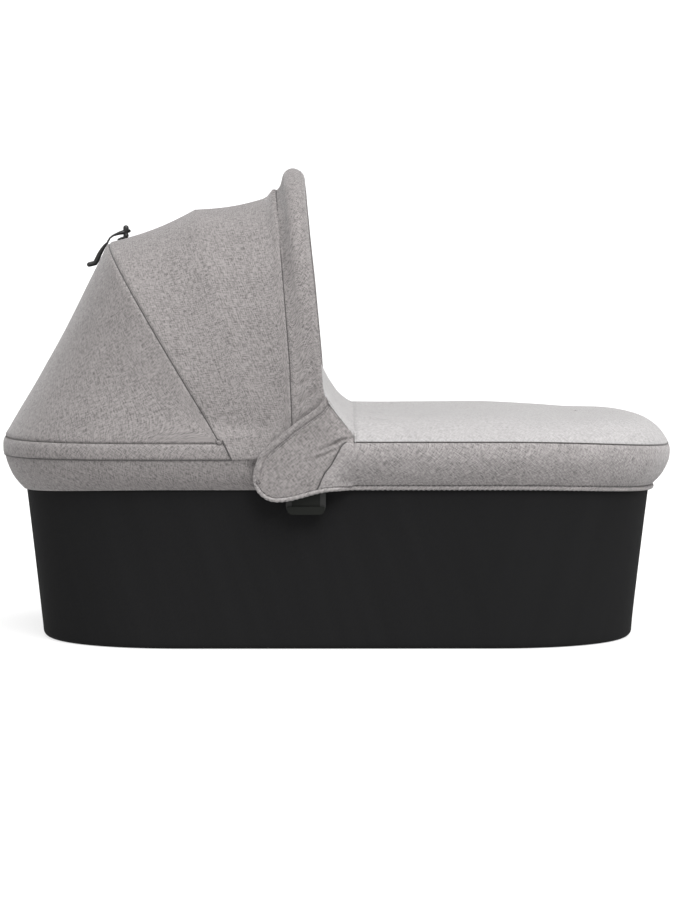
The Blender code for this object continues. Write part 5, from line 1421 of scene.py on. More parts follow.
@dataclass
class HoodCloth:
    """The hood's two panels, and the dark cords in their seams that are painted shadow of the grooves."""

    columns: int = 240
    rear_rows: int = 46
    front_rows: int = 26
    rear_rise: float = 0.0032
    rear_shift: float = -0.0030
    middle_rise: float = 0.0024
    front_rise: float = 0.0018
    rear_flare: float = 0.0090
    middle_flare: float = 0.0045
    sag: float = 0.0042
    seam_tuck: float = 0.0013
    seam_width: float = 0.0030
    shadow_cord: float = 0.0008
    shadow_cord_sink_share: float = 0.2
    band_sink_share: float = 0.8
    rumple_height: float = 0.0007
    rumple_reach: float = 0.055
    calm: float = 0.02
    seam_side_steps: int = 24
    seam_arc_steps: int = 60
    foot_columns: int = 20
    foot_land_share: float = 0.2
    front_cloth: float = 0.0012
    blend_back: float = 0.012
    rear_blend_end: Triple = (-0.217, 0.0, 0.413)
    front_blend_end: Triple = (-0.0564, 0.0, 0.2812)
    tab_drop: float = 0.0190
    tab_lead: float = 0.0100
    tab_columns: int = 8
    tab_stand: float = 0.0017
    tab_front: float = -0.0940
    tab_fade: float = 0.0100
    tab_settle_share: float = 0.5

    def seam_lift(self, low: np.ndarray, high: np.ndarray) -> np.ndarray:
        """Give how far the cloth dips into the seams along its first and last row."""
        flat = smooth_array(low, 0.0, self.seam_width) + smooth_array(high, 0.0, self.seam_width)
        return -self.seam_tuck * (2 - flat)

    def rear_seam_line(self, shift: float) -> Line:
        """Give the line over the rear bow where the two panels meet."""
        return HOOD.over(HOOD.rear, self.rear_rise, self.rear_shift + shift, self.columns + 1,
                         self.rear_flare)

    def band_seam_line(self) -> Line:
        """Give the line along the head band's top, from the left foot to the right one."""
        start = HOOD.rear.elbow.x - HOOD.land
        stations = TUB.end_stations(start, -1, self.seam_side_steps, self.seam_arc_steps)
        seam = [HOOD.band_point(s, 1.0) + Vector((0, 0, FIT)) for s in reversed(stations)]
        return resample(seam, self.columns + 1)

    def build_rear(self) -> bpy.types.Object:
        """Build the rear panel, from the head band up to the rear bow."""
        crest = self.rear_seam_line(-FIT / 2)
        land = self.rear_seam_line(-HOOD.land)
        seam = self.band_seam_line()
        ledge = [point + Vector((0, 0, HOOD.land)) for point in seam]
        for index, edge in enumerate(crest):
            inner = min(index, self.columns - index) / self.foot_columns
            land[index] = edge.lerp(land[index], min(self.foot_land_share + inner, 1.0))
        rows = lead(seam, ledge)
        rows += [HOOD.drawn_in(ledge, land, row / self.rear_rows, self.sag)
                 for row in range(self.rear_rows + 1)]
        rows += lead(land, crest, out=True)
        surface = Surface(reversed_rows(rows))
        low, high = surface.to_edges()
        lift = rumple(surface.points, self.rumple_reach, Seed.REAR_PANEL) * self.rumple_height
        surface.raise_by(lift * surface.calm(self.calm, self.calm))
        surface.raise_by(self.seam_lift(low, high))
        panel = Skin().add(surface, HOOD.cloth).make("hood_rear_panel", cloth("hood_rear"))
        base = TUB.wall_point(Station(-TUB.straight_half_length, -1, 0.0), HOOD.seam_end)
        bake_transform(panel)
        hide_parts("canopy_rear")
        LOG.info("%s bends between tub and rear_bow", panel.name)
        return panel

    def foot_row(self, line: Line, share: float) -> Line:
        """Add the cloth that runs down over the head band below both feet of a line."""
        feet = []
        for foot in (line[0], line[-1]):
            fade = 1 - smoothstep(foot.x, self.tab_front, self.tab_front + self.tab_fade)
            column = []
            for step in range(1, self.tab_columns + 1):
                part = step / self.tab_columns
                x = foot.x + self.tab_lead * (1 - share) * part * fade
                z = foot.z - self.tab_drop * part * fade
                station = Station(min(x, 0.0), -1, copysign(pi / 2, foot.y))
                height_share = (z - HOOD.hem_side) / (HOOD.seam_side - HOOD.hem_side)
                on_band = abs(HOOD.band_point(station, height_share, self.tab_stand).y)
                settle = smoothstep(part, 0.0, self.tab_settle_share)
                y = abs(foot.y) + (on_band - abs(foot.y)) * settle
                column.append(Vector((x, copysign(y, foot.y), z)))
            feet.append(column)
        return list(reversed(feet[0])) + line + feet[1]

    def build_front(self) -> bpy.types.Object:
        """Build the front panel, over the rear and middle bows and up to the front bow."""
        count = self.columns + 1
        rear = self.rear_seam_line(FIT / 2)
        land = self.rear_seam_line(HOOD.land)
        middle = HOOD.over(HOOD.middle, self.middle_rise, 0.0, count, self.middle_flare)
        ledge = HOOD.over(HOOD.front_bow, self.front_rise, -HOOD.land, count)
        front = HOOD.over(HOOD.front_bow, self.front_rise, -FIT / 2, count)
        rows = lead(rear, land)
        shares = [0.0] * LEAD_STEPS
        for row in range(self.front_rows + 1):
            rows.append(HOOD.drawn_in(land, middle, row / self.front_rows, self.sag))
            shares.append(row / self.front_rows)
        for row in range(1, self.front_rows + 1):
            rows.append(HOOD.drawn_in(middle, ledge, row / self.front_rows, self.sag))
            shares.append(1.0)
        rows += lead(ledge, front, out=True)
        shares += [1.0] * LEAD_STEPS
        rows = [self.foot_row(row, share) for row, share in zip(rows, shares)]
        surface = Surface(reversed_rows(rows))
        low, high = surface.to_edges()
        free = surface.calm(self.calm, self.calm)
        free *= smooth_array(surface.points[..., 2], HOOD.foot_z, HOOD.foot_z + HOOD.flare_height)
        lift = rumple(surface.points, self.rumple_reach, Seed.FRONT_PANEL) * self.rumple_height * free
        lift = lift + HOOD.gather_lift(surface.points, high)
        surface.raise_by(lift + HOOD.pocket_lift(surface.points))
        surface.raise_by(self.seam_lift(low, high))
        panel = Skin().add(surface, self.front_cloth).make("hood_front_panel", cloth("hood_front"))
        tuple(HOOD.rear.elbow)
        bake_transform(panel)
        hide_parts("canopy_front")
        LOG.info("%s bends between rear_bow and front_bow", panel.name)
        return panel

    def build_seams(self) -> None:
        """Build the dark cords that show in the three seams of the hood, painted shadow of their grooves.
        """
        sunk = -HOOD.cloth - self.seam_tuck * self.shadow_cord_sink_share
        rear = HOOD.over(HOOD.rear, self.rear_rise + sunk + self.shadow_cord, self.rear_shift,
                         self.columns + 1, self.rear_flare)
        front = HOOD.over(HOOD.front_bow, self.front_rise + sunk + self.shadow_cord, 0.0, self.columns + 1)
        for point in front:
            point.z += HOOD.gather * smoothstep(point.z, HOOD.gather_start, HOOD.gather_full)
        seam = []
        for point in self.band_seam_line():
            inward = Vector((point.x + TUB.straight_half_length, point.y, 0)).normalized()
            sink = inward * (self.seam_tuck * self.band_sink_share)
            seam.append(point - sink - Vector((0, 0, FIT / 2)))
        for name, line, body, slot in (("rear_seam_shadow", rear, "rear_bow", "canopy_front"),
                                       ("front_seam_shadow", front, "front_bow", "visor"),
                                       ("band_seam_shadow", seam, "tub", "hood_band")):
            seat(bar(line, self.shadow_cord).make(name, cloth("seam")), body, slot)


@dataclass
class Visor:
    """The visor on the front bow, peaked at its top and wired in its free edge."""

    columns: int = 240
    rows: int = 24
    cloth: float = 0.0008
    rise: float = 0.0018
    depth: float = 0.0382
    peak_depth: float = 0.064
    peak_angle: float = radians(76)
    peak_turn: float = radians(155)
    bend_share: float = 0.40
    side_angle: float = radians(-2)
    profile_steps: int = 24
    foot_z: float = 0.264
    wire: float = 0.0015
    wire_clearance: float = 0.0004
    wrap: float = 0.0027
    wrap_steps: int = 8
    hem: float = 0.012
    peak_power: int = 3
    gather_pitch: float = 0.008
    gather_height: float = 0.0009
    gather_reach: float = 0.015
    gather_low: float = 0.500
    gather_high: float = 0.545
    gather_lead: float = 0.004
    seam_tuck: float = 0.0012
    rumple_height: float = 0.0006
    rumple_reach: float = 0.04
    calm: float = 0.01
    stitch_rows: int = 5
    creases: tuple[Crease, ...] = (
        Crease(((-0.0520, 0.3020), (-0.0392, 0.3093), (-0.0235, 0.3237), (-0.0170, 0.3330)),
               -0.0026, 0.0032),
        Crease(((-0.0560, 0.3230), (-0.0420, 0.3290), (-0.0260, 0.3440)), -0.0020, 0.0036),
        Crease(((-0.0520, 0.3400), (-0.0400, 0.3480), (-0.0240, 0.3660)), -0.0014, 0.0036),
        Crease(((-0.0500, 0.2930), (-0.0400, 0.2950), (-0.0290, 0.3040)), 0.0014, 0.0030),
    )

    def profile(self, peak: float, share: float) -> Pair:
        """Give how far ahead and outward the visor reaches at a share of its depth.

        Args:
            peak: How peaked it is there, from 0 at its feet to 1 at the top.
            share: The share of its depth.

        Returns:
            The two reaches.
        """
        side_length = (self.depth - HOOD.land) * share
        ahead, outward = cos(self.side_angle) * side_length, sin(self.side_angle) * side_length
        length = (self.peak_depth - HOOD.land) * share / self.profile_steps
        peak_ahead = peak_outward = 0.0
        for step in range(self.profile_steps):
            place = share * (step + 0.5) / self.profile_steps
            bend = max(place - self.bend_share, 0) / (1 - self.bend_share)
            angle = self.peak_angle - self.peak_turn * bend
            peak_ahead += cos(angle) * length
            peak_outward += sin(angle) * length
        return ahead + (peak_ahead - ahead) * peak, outward + (peak_outward - outward) * peak

    def lines(self) -> list[Line]:
        """Give the rows, from the seam on the front bow to the free edge."""
        count = self.columns + 1
        bow = HOOD.front_bow
        seam = HOOD.over(bow, self.rise, FIT / 2, count, foot_z=self.foot_z)
        land = HOOD.over(bow, self.rise, HOOD.land, count, foot_z=self.foot_z)
        rows = lead(seam, land)
        last = len(land) - 1
        for row in range(self.rows + 1):
            share = row / self.rows
            line = []
            for index, point in enumerate(land):
                peak = sin(pi * index / last) ** self.peak_power
                ahead, rise = self.profile(peak, share)
                before, after = land[max(index - 1, 0)], land[min(index + 1, last)]
                outward = Vector((1, 0, 0)).cross(after - before).normalized()
                leant = bow.ahead * bow.lean * HOOD.lean_share(index, count) * share
                line.append(point + Vector((ahead, 0, 0)) + outward * rise - leant)
            rows.append(line)
        return rows

    def wrap_edge(self, rows: list[Line]) -> list[Line]:
        """Turn the free edge round the wire.

        Args:
            rows: The visor's rows, the free edge last.

        Returns:
            The rows, raised to the turn along the hem, and the turn's own rows.
        """
        edge, behind = rows[-1], rows[-2]
        centre_ahead = self.wire + self.wire_clearance
        centre_down = HOOD.cloth / 2
        flat = Surface(reversed_rows(rows))
        _, to_edge = flat.to_edges()
        flat.raise_by((self.wrap - centre_down) * (1 - smooth_array(to_edge, 0.0, self.hem)))
        rows = [[Vector(point) for point in reversed(row)] for row in flat.points]
        for step in range(self.wrap_steps + 1):
            turn = pi / 2 - pi * step / self.wrap_steps
            line = []
            for index, (point, back) in enumerate(zip(edge, behind)):
                ahead = (point - back).normalized()
                along = edge[min(index + 1, len(edge) - 1)] - edge[max(index - 1, 0)]
                outward = ahead.cross(along).normalized()
                centre = point + ahead * centre_ahead - outward * centre_down
                line.append(centre + (ahead * cos(turn) + outward * sin(turn)) * self.wrap)
            rows.append(line)
        return rows

    def drape(self, surface: Surface) -> None:
        """Gather, crease and tuck the cloth."""
        low = surface.across()
        crown = smooth_array(surface.points[..., 2], self.gather_low, self.gather_high)
        gathers = np.sin(surface.along() * 2 * pi / self.gather_pitch)
        gathers *= np.exp(-low / self.gather_reach) * smooth_array(low, 0.0, self.gather_lead)
        lift = gathers * self.gather_height * crown
        lift = lift + sum(crease.lift(surface.points) for crease in self.creases)
        lift = lift + rumple(surface.points, self.rumple_reach, Seed.VISOR) * self.rumple_height
        surface.raise_by(lift * surface.calm(self.calm, self.hem))
        surface.raise_by(-self.seam_tuck * (1 - smooth_array(low, 0.0, HOOD.land)))
        surface.raise_by(HOOD.gather_lift(surface.points, low))

    def build(self) -> bpy.types.Object:
        """Build the visor and the stitches of its hem."""
        surface = Surface(reversed_rows(self.wrap_edge(self.lines())))
        self.drape(surface)
        visor = Skin().add(surface, self.cloth).make("visor_cloth", cloth("visor"))
        seat(visor, "front_bow", "visor", "visor")
        row = len(surface.points) - self.wrap_steps - self.stitch_rows
        return stitch_row("visor_edge_stitches", surface, row, "front_bow", "visor")


@dataclass
class VentStrap:
    """The moulded strap over the hood's top and the toggle that buttons it down."""

    half_width: float = 0.0032
    route: tuple[Triple, ...] = (
        (-0.3126, 0.4660, 0.0030), (-0.3094, 0.4668, 0.0031), (-0.3050, 0.4679, 0.0033),
        (-0.3024, 0.4722, 0.0033), (-0.2996, 0.4787, 0.0030), (-0.2963, 0.4845, 0.0026),
        (-0.2925, 0.4901, 0.0019), (-0.2897, 0.4930, 0.0014), (-0.2884, 0.4957, 0.0012),
        (-0.2862, 0.4994, 0.0012), (-0.2826, 0.5022, 0.0013), (-0.2783, 0.5040, 0.0017),
        (-0.2740, 0.5055, 0.0023), (-0.2690, 0.5066, 0.0029),
    )
    foot_route: tuple[Triple, ...] = (
        (-0.2762, 0.4976, 0.0009), (-0.2725, 0.4990, 0.0013), (-0.2670, 0.5004, 0.0016),
    )
    toggle_x: float = -0.2660
    toggle_low: float = 0.4990
    toggle_high: float = 0.5156
    toggle_radius: float = 0.0036
    toggle_steps: int = 9
    waist_share: float = 0.78
    waist_place_share: float = 0.3
    waist_width_share: float = 0.18
    nub: Pair = (-0.2622, 0.5082)
    nub_radius: float = 0.0023
    strap_sides: int = 16
    toggle_sides: int = 20
    nub_sides: int = 14

    def flat_bar(self, route: tuple[Triple, ...]) -> Surface:
        """Give a bar along a route whose width across the hood stays the same."""
        radii = [radius for _, _, radius in route]
        path = [Vector((x, 0, z)) for x, z, _ in route]
        strap = tube(path, radii, sides=self.strap_sides, up=Vector((-1, 0, 1)))
        tips = (len(strap.points) - len(radii)) // 2
        for ring in range(len(strap.points)):
            radius = radii[min(max(ring - tips, 0), len(radii) - 1)]
            strap.points[ring, :, 1] *= self.half_width / radius
        return strap

    def build(self) -> None:
        """Build the strap, its toggle and the nub that holds them together."""
        rubber = RUBBER.make("rubber")
        skin = Skin()
        for route in (self.route, self.foot_route):
            skin.add(self.flat_bar(route), caps=(True, True))
        seat(skin.make("vent_strap_moulding", rubber), "rear_bow", "vent_strap", "vent_strap")
        points, sizes = [], []
        length = self.toggle_high - self.toggle_low - 2 * self.toggle_radius
        for step in range(self.toggle_steps):
            share = step / (self.toggle_steps - 1)
            z = self.toggle_low + self.toggle_radius + length * share
            points.append(Vector((self.toggle_x, 0, z)))
            away = (share - self.waist_place_share) / self.waist_width_share
            sizes.append(self.toggle_radius * (1 - (1 - self.waist_share) * exp(-away ** 2)))
        toggle = bar(points, sizes, sides=self.toggle_sides, up=Vector((1, 0, 0)))
        seat(toggle.make("vent_toggle_moulding", rubber), "rear_bow", "vent_toggle", "vent_toggle")
        nub_x, nub_z = self.nub
        nub = bar([Vector((x, 0, nub_z)) for x in (self.toggle_x, nub_x)], self.nub_radius,
                  sides=self.nub_sides)
        seat(nub.make("vent_toggle_nub", TAB_PLASTIC.make("nub_plastic")), "rear_bow", "vent_toggle")


# Apron

@dataclass
class Apron:
    """The fitted apron: domed top, side band, piping, collar and the wing flaps."""

    start: float = 0.020
    side_seam: float = 0.258
    tip_seam: float = 0.243
    side_hem: float = 0.198
    tip_hem: float = 0.186
    crown: float = 0.287
    dome_reach: float = 0.032
    spine_end: float = 0.300
    tip_reach: float = 0.0195
    tip_level: float = 0.2815
    piping: float = 0.0026
    rib_height: float = 0.00032
    rib_pitch: float = 0.0062
    cloth: float = 0.0018
    side_rows: int = 26
    side_steps: int = 30
    arc_steps: int = 44
    front_steps: int = 14
    top_rows: int = 40
    seam_tuck: float = 0.0012
    seam_width: float = 0.0030
    shadow_cord_sink: float = 0.00096
    calm: float = 0.012
    rumple_height: float = 0.0006
    rumple_reach: float = 0.05
    rumple_stretch: Triple = (1.0, 1.0, 2.0)
    hem_line: float = 0.0052
    hem_groove: float = 0.0005
    hem_groove_width: float = 0.0010
    top_row_power: float = 1.6
    top_swell: float = 0.0012
    top_swell_reach: float = 0.07
    top_calm: float = 0.02
    piping_step: float = 0.0015
    piping_sides: int = 12
    lobe_steps: int = 24
    lobe_lead_steps: int = 4
    lower_steps: int = 40
    wing_outer_y: float = 0.2095
    wing_cloth: float = 0.0022
    wing_sheet: float = 0.00176
    wing_gap: float = 0.0012
    lobe_x: float = -0.0740
    lobe_z: float = 0.2145
    lobe_radius: float = 0.0295
    hem_level_x: float = -0.005
    tuck: float = 0.0012
    tuck_height: float = 0.020
    blend_start: float = -0.012
    seam_places: tuple[Pair, ...] = ((-0.0250, 0.2066), (-0.0170, 0.2192), (-0.0087, 0.2303),
                                     (-0.0018, 0.2429), (0.0051, 0.2550), (0.0093, 0.2579))
    cuff_shares: tuple[Pair, ...] = ((0.0, 0.015), (0.025, 0.130), (0.092, 0.281), (0.227, 0.414),
                                     (0.443, 0.576), (0.625, 0.704), (0.821, 0.823),
                                     (0.918, 0.901), (0.962, 0.990))
    collar_back: float = 0.0427
    collar_rise: float = 0.052
    collar_shares: tuple[Pair, ...] = ((0.0, 0.0), (0.180, 0.02), (0.532, 0.058), (1.0, 1.0))
    collar_side_back: float = 0.0347
    collar_side_rise: float = 0.0556
    collar_side_shares: tuple[Pair, ...] = ((0.0, 0.0), (0.0, 0.25), (0.51, 0.486), (1.0, 1.0))
    collar_draw: float = 0.0105
    collar_rows: int = 40
    collar_columns: int = 180
    collar_round: float = 0.022
    collar_round_share: float = 0.45
    collar_bulge: float = 0.0016
    collar_bulge_rise: float = 1.6
    collar_swell: float = 0.0009
    collar_swell_reach: float = 0.045
    collar_calm: float = 0.01
    corner_turn: float = 0.0085
    corner_width: float = 0.021
    corner_steps: int = 24
    wing_columns: int = 150
    wing_rows: int = 90
    border_steps: int = 16
    border_side_steps: int = 12
    wing_swell: float = 0.0005
    wing_swell_reach: float = 0.03
    cuff_width: float = 0.0080
    cuff_rise: float = 0.0021
    cuff_lines: tuple[float, ...] = (0.0086, 0.0112)
    cuff_line_depth: float = 0.0010
    cuff_line_width: float = 0.0007
    seam_shadow_cord: float = 0.0009
    tip_calm: float = 0.012
    top_creases: tuple[Crease, ...] = (
        Crease(((0.0160, -0.0400), (0.0340, -0.0850), (0.0560, -0.1150)), -0.0022, 0.0045, (0, 1)),
        Crease(((0.0200, -0.1350), (0.0400, -0.1500), (0.0620, -0.1620)), -0.0026, 0.0042, (0, 1)),
        Crease(((0.0200, -0.1600), (0.0320, -0.1720), (0.0500, -0.1840)), -0.0020, 0.0040, (0, 1)),
        Crease(((0.0180, 0.0500), (0.0450, 0.0640), (0.0900, 0.0700)), -0.0036, 0.0050, (0, 1)),
        Crease(((0.0180, 0.0900), (0.0500, 0.1010), (0.1000, 0.1060)), -0.0042, 0.0045, (0, 1)),
        Crease(((0.0200, 0.1350), (0.0420, 0.1420), (0.0740, 0.1450)), -0.0034, 0.0045, (0, 1)),
    )
    wing_creases: tuple[Crease, ...] = (
        Crease(((0.0134, 0.2614), (0.0051, 0.2610), (-0.0030, 0.2566), (-0.0211, 0.2484)),
               -0.0030, 0.0019),
        Crease(((0.0110, 0.2650), (0.0010, 0.2640), (-0.0110, 0.2580)), 0.0012, 0.0026),
        Crease(((0.0006, 0.2514), (-0.0151, 0.2430), (-0.0337, 0.2357)), -0.0020, 0.0022),
        Crease(((0.0040, 0.2560), (-0.0100, 0.2490), (-0.0260, 0.2420)), 0.0012, 0.0026),
        Crease(((-0.0180, 0.2760), (-0.0360, 0.2660), (-0.0560, 0.2500)), -0.0008, 0.0050),
    )
    side_curve: tuple[Pair, ...] = field(init=False)
    middle_curve: tuple[Pair, ...] = field(init=False)

    def __post_init__(self) -> None:
        """Place the collar's two curves."""
        x = self.start - FIT
        self.side_curve = placed_curve(self.collar_side_shares, x, self.side_seam,
                                       -self.collar_side_back, self.collar_side_rise)
        self.middle_curve = placed_curve(self.collar_shares, x, self.crown,
                                         -self.collar_back, self.collar_rise)

    def levels(self, station: Station) -> Pair:
        """Give the hem's and the seam's height at a station."""
        weight = cos(station.turn) ** 2
        hem = self.side_hem + (self.tip_hem - self.side_hem) * weight
        seam = self.side_seam + (self.tip_seam - self.side_seam) * weight
        return hem + 2 * self.piping + FIT, seam

    def band_point(self, station: Station, share: float) -> Vector:
        """Give a point on the outside of the side band at a share of its height."""
        hem, seam = self.levels(station)
        return TUB.wall_point(station, hem + (seam - hem) * share, HOOD.band_offset(share))

    def profile_y(self, x: float, z: float) -> float:
        """Give the outside of the side band on the straight side, at an x and height."""
        hem, seam = self.levels(Station(x, 1, pi / 2))
        share = min(max((z - hem) / (seam - hem), 0.0), 1.0)
        return TUB.half_width(z) + HOOD.band_offset(share)

    def dome_rise(self, distance: float, to_tip: float = 0.0) -> float:
        """Give the share of the crown's height reached at a distance in from the seam."""
        reach = self.dome_reach + (self.tip_reach - self.dome_reach) * to_tip
        return 1 - exp(-distance / reach)

    def dome_point(self, station: Station, share: float) -> Vector:
        """Give a point of the top at a share of the way in from the seam to the spine."""
        edge = self.band_point(station, 1.0)
        bend = TUB.straight_half_length
        to_tip = smoothstep(edge.x, bend, TUB.rim_half_length)
        spine_x = min(edge.x, bend + (self.spine_end - bend) * to_tip)
        point = edge.lerp(Vector((spine_x, 0, edge.z)), share)
        tip = smoothstep(point.x, bend, self.spine_end)
        crown = self.crown + (self.tip_level - self.crown) * tip
        point.z = edge.z + (crown - edge.z) * self.dome_rise((point - edge).length, to_tip)
        return point

    def wing_edge(self, x: float) -> float:
        """Give the height of a wing's outer lower edge, piping included, at an x."""
        reach = x - self.lobe_x
        low = self.lobe_z - sqrt(max(self.lobe_radius ** 2 - min(reach, 0) ** 2, 0))
        if reach > 0:
            low += (self.side_hem - low) * smoothstep(x, self.lobe_x, self.hem_level_x)
        return low

    def wing_cloth_edge(self, x: float) -> float:
        """Give the height of a wing's cloth edge, just above its piping, at an x."""
        return self.wing_edge(x) + 2 * self.piping + 2 * FIT

    def wing_y(self, x: float, z: float) -> float:
        """Give a wing's outer distance from the middle plane."""
        low = self.wing_edge(x)
        tucked = self.wing_outer_y - self.tuck * (1 - smoothstep(z, low, low + self.tuck_height))
        joined = smoothstep(x, self.blend_start, self.start)
        front = max(self.profile_y(x, z), TUB.rim_half_width + self.wing_cloth + self.wing_gap)
        return tucked + (front - tucked) * joined

    def corner_pull(self, share: float | np.ndarray) -> float | np.ndarray:
        """Give how far the wing's front corner is turned inwards at a share of the side curve."""
        return self.corner_turn * np.sin(pi * np.sqrt(share))

    def seam_line(self) -> list[Pair]:
        """Give the seam between a wing and the side band, from the hem to the top's seam."""
        low_x = self.seam_places[0][0]
        places = [(low_x, self.wing_cloth_edge(low_x)), *self.seam_places[1:]]
        return smooth_line(places, self.side_rows + 1)

    def side_stations(self) -> list[Station]:
        """Give the stations round the foot end."""
        return TUB.end_stations(self.start, 1, self.side_steps, self.arc_steps)

    def front_columns(self, share: float, side: int) -> Line:
        """Give the band's points from the wing's slanted seam to where the stations start."""
        line = []
        seam = self.seam_line()
        seam_x, seam_z = seam[int(round(share * (len(seam) - 1)))]
        low, _ = self.levels(Station(self.start, 1, pi / 2))
        stop_z = low + (self.side_seam - low) * share
        for step in range(self.front_steps):
            part = step / self.front_steps
            x = seam_x + (self.start - seam_x) * part
            z = seam_z + (stop_z - seam_z) * part
            z = max(z, self.wing_cloth_edge(x))
            line.append(Vector((x, side * self.wing_y(x, z), z)))
        return line

    def build_side(self) -> bpy.types.Object:
        """Build the side band, from the wings' seams round the foot end."""
        stations = self.side_stations()
        rows = []
        for row in range(self.side_rows + 1):
            share = row / self.side_rows
            line = [self.band_point(s, share) for s in stations]
            rows.append(self.front_columns(share, -1) + line
                        + list(reversed(self.front_columns(share, 1))))
        surface = Surface(rows)
        low, high = surface.to_edges()
        lift = rumple(surface.points, self.rumple_reach, Seed.APRON_SIDE, self.rumple_stretch)
        surface.raise_by(lift * self.rumple_height * surface.calm(self.calm, self.calm))
        groove = -self.hem_groove * np.exp(-((low - self.hem_line) / self.hem_groove_width) ** 2)
        dip = -self.seam_tuck * (1 - smooth_array(high, 0.0, self.seam_width))
        ends = surface.along()[:, -1:] - np.abs(surface.along())
        dip = dip - self.seam_tuck * (1 - smooth_array(ends, 0.0, self.seam_width))
        surface.raise_by(groove + dip)
        side = Skin().add(surface, self.cloth).make("apron_side", cloth("apron"))
        seat(side, "apron", "apron_skirt", "apron_skirt")
        row = int(np.argmin(np.abs(low[:, low.shape[1] // 2] - self.hem_line)))
        return stitch_row("apron_hem_stitches", surface, row, "apron", "apron_skirt")

    def build_top(self) -> bpy.types.Object:
        """Build the domed top, as one sheet across both sides."""
        half = [s for s in self.side_stations() if s.turn <= 0]
        rows = []
        for station in half:
            line = []
            for step in range(self.top_rows + 1):
                share = (step / self.top_rows) ** self.top_row_power
                line.append(self.dome_point(station, share))
            line[-1].y = 0.0
            rows.append(line + mirrored(line[-2::-1]))
        surface = Surface(rows[::-1])
        along = surface.along()
        edge = np.minimum(along - along[:, :1], along[:, -1:] - along)
        lift = rumple(surface.points, self.top_swell_reach, Seed.APRON_TOP, (1.0, 1.0, 0.0))
        lift = lift * self.top_swell + sum(crease.lift(surface.points) for crease in self.top_creases)
        surface.raise_by(lift * smooth_array(edge, 0.0, self.top_calm))
        surface.raise_by(-self.seam_tuck * (1 - smooth_array(edge, 0.0, self.seam_width)))
        places = surface.points[..., :2].copy()
        top = Skin().add(surface, self.cloth, places).make("apron_top", cloth("apron_top"))
        seat(top, "apron", "apron_cover", "apron_cover")
        return top

    def lobe_line(self, radius: float, steps: int, lead_steps: int = 0) -> list[Pair]:
        """Give a quarter round the lobe, from its rear to its lowest place, and a lead before it."""
        turns = [pi / 2 * step / steps for step in range(-lead_steps, steps)]
        return [(self.lobe_x - radius * cos(turn), self.lobe_z - radius * sin(turn)) for turn in turns]

    def piping_line(self) -> Line:
        """Give the piping's line: under one wing, along the hem round the foot, and back."""
        hem_line = []
        for station in self.side_stations():
            hem, _ = self.levels(station)
            hem_line.append(TUB.wall_point(station, hem - self.piping - FIT, self.piping + FIT))
        wing = self.lobe_line(self.lobe_radius - self.piping, self.lobe_steps, self.lobe_lead_steps)
        for step in range(self.lower_steps):
            x = self.lobe_x + (self.start - self.lobe_x) * step / self.lower_steps
            wing.append((x, self.wing_edge(x) + self.piping))
        line = []
        for x, z in wing:
            joined = smoothstep(x, self.blend_start, self.start)
            under_wing = self.wing_outer_y - self.tuck - self.wing_cloth / 2
            by_wall = TUB.half_width(z) + self.piping + FIT
            line.append(Vector((x, under_wing + (by_wall - under_wing) * joined, z)))
        return mirrored(line) + hem_line + list(reversed(line))

    def build_piping(self) -> bpy.types.Object:
        """Build the corded piping along the hem, its cloth drawn into slanted ribs."""
        line = self.piping_line()
        length = sum((b - a).length for a, b in zip(line, line[1:]))
        path = resample(line, int(length / self.piping_step))
        surface = tube(path, self.piping, sides=self.piping_sides)
        along = np.arange(surface.points.shape[0])[:, None] * self.piping_step
        turn = np.linspace(0, 2 * pi, surface.points.shape[1])[None, :]
        surface.raise_by(self.rib_height * np.sin(along * 2 * pi / self.rib_pitch + turn))
        piece = Skin().add(surface, caps=(True, True)).make("apron_piping_cord", cloth("piping"))
        return seat(piece, "apron", "apron_piping", "apron_piping")

    def build_seam(self) -> bpy.types.Object:
        """Build the dark cords in the seam between the top and the side band and in the wings' seams,
        painted shadow of their grooves.
        """
        line = []
        for station in self.side_stations():
            point = self.band_point(station, 1.0)
            inward = TUB.wall_point(station, point.z, 0.0) - point
            line.append(point + inward.normalized() * self.shadow_cord_sink)
        skin = bar(line, self.seam_shadow_cord)
        for side in SIDES.values():
            wing_seam = [Vector((x, side * (self.wing_y(x, z) - self.shadow_cord_sink), z))
                         for x, z in self.seam_line()]
            skin.add(tube(wing_seam, self.seam_shadow_cord), caps=(True, True))
        return seat(skin.make("apron_seam_shadow", cloth("seam")), "apron", "apron_cover")

    def build_collar(self) -> bpy.types.Object:
        """Build the raised collar across the hood end, inside the wings and the visor."""
        rows = []
        end_width = self.wing_outer_y - self.collar_draw
        for row in range(self.collar_rows + 1):
            share = row / self.collar_rows
            side_x, side_z = bezier(self.side_curve, share)
            middle_x, middle_z = bezier(self.middle_curve, share)
            half = self.wing_y(side_x, side_z) - FIT - self.corner_pull(share)
            line = []
            for column in range(self.collar_columns + 1):
                y = -half * cos(pi * column / self.collar_columns)
                inner = half + (end_width - half) * share
                away = max(inner - abs(y), 0)
                bend = max(1 - away / self.collar_round, 0.0)
                turned = sqrt(1 - bend * bend)
                middle = self.dome_rise(away)
                middle += (turned - middle) * self.collar_round_share * bend
                swell = self.collar_bulge * sin(pi * min(share * self.collar_bulge_rise, 1.0))
                swell *= min(away / self.collar_round, 1)
                line.append(Vector((side_x + (middle_x - side_x) * middle + swell, y,
                                    side_z + (middle_z - side_z) * middle)))
            rows.append(line)
        surface = Surface(rows)
        lift = rumple(surface.points, self.collar_swell_reach, Seed.COLLAR) * self.collar_swell
        surface.raise_by(lift * surface.calm(self.collar_calm, self.collar_calm))
        collar = Skin().add(surface, self.cloth).make("collar", cloth("apron_top"))
        seat(collar, "apron", "apron_collar", "apron_collar")
        return collar

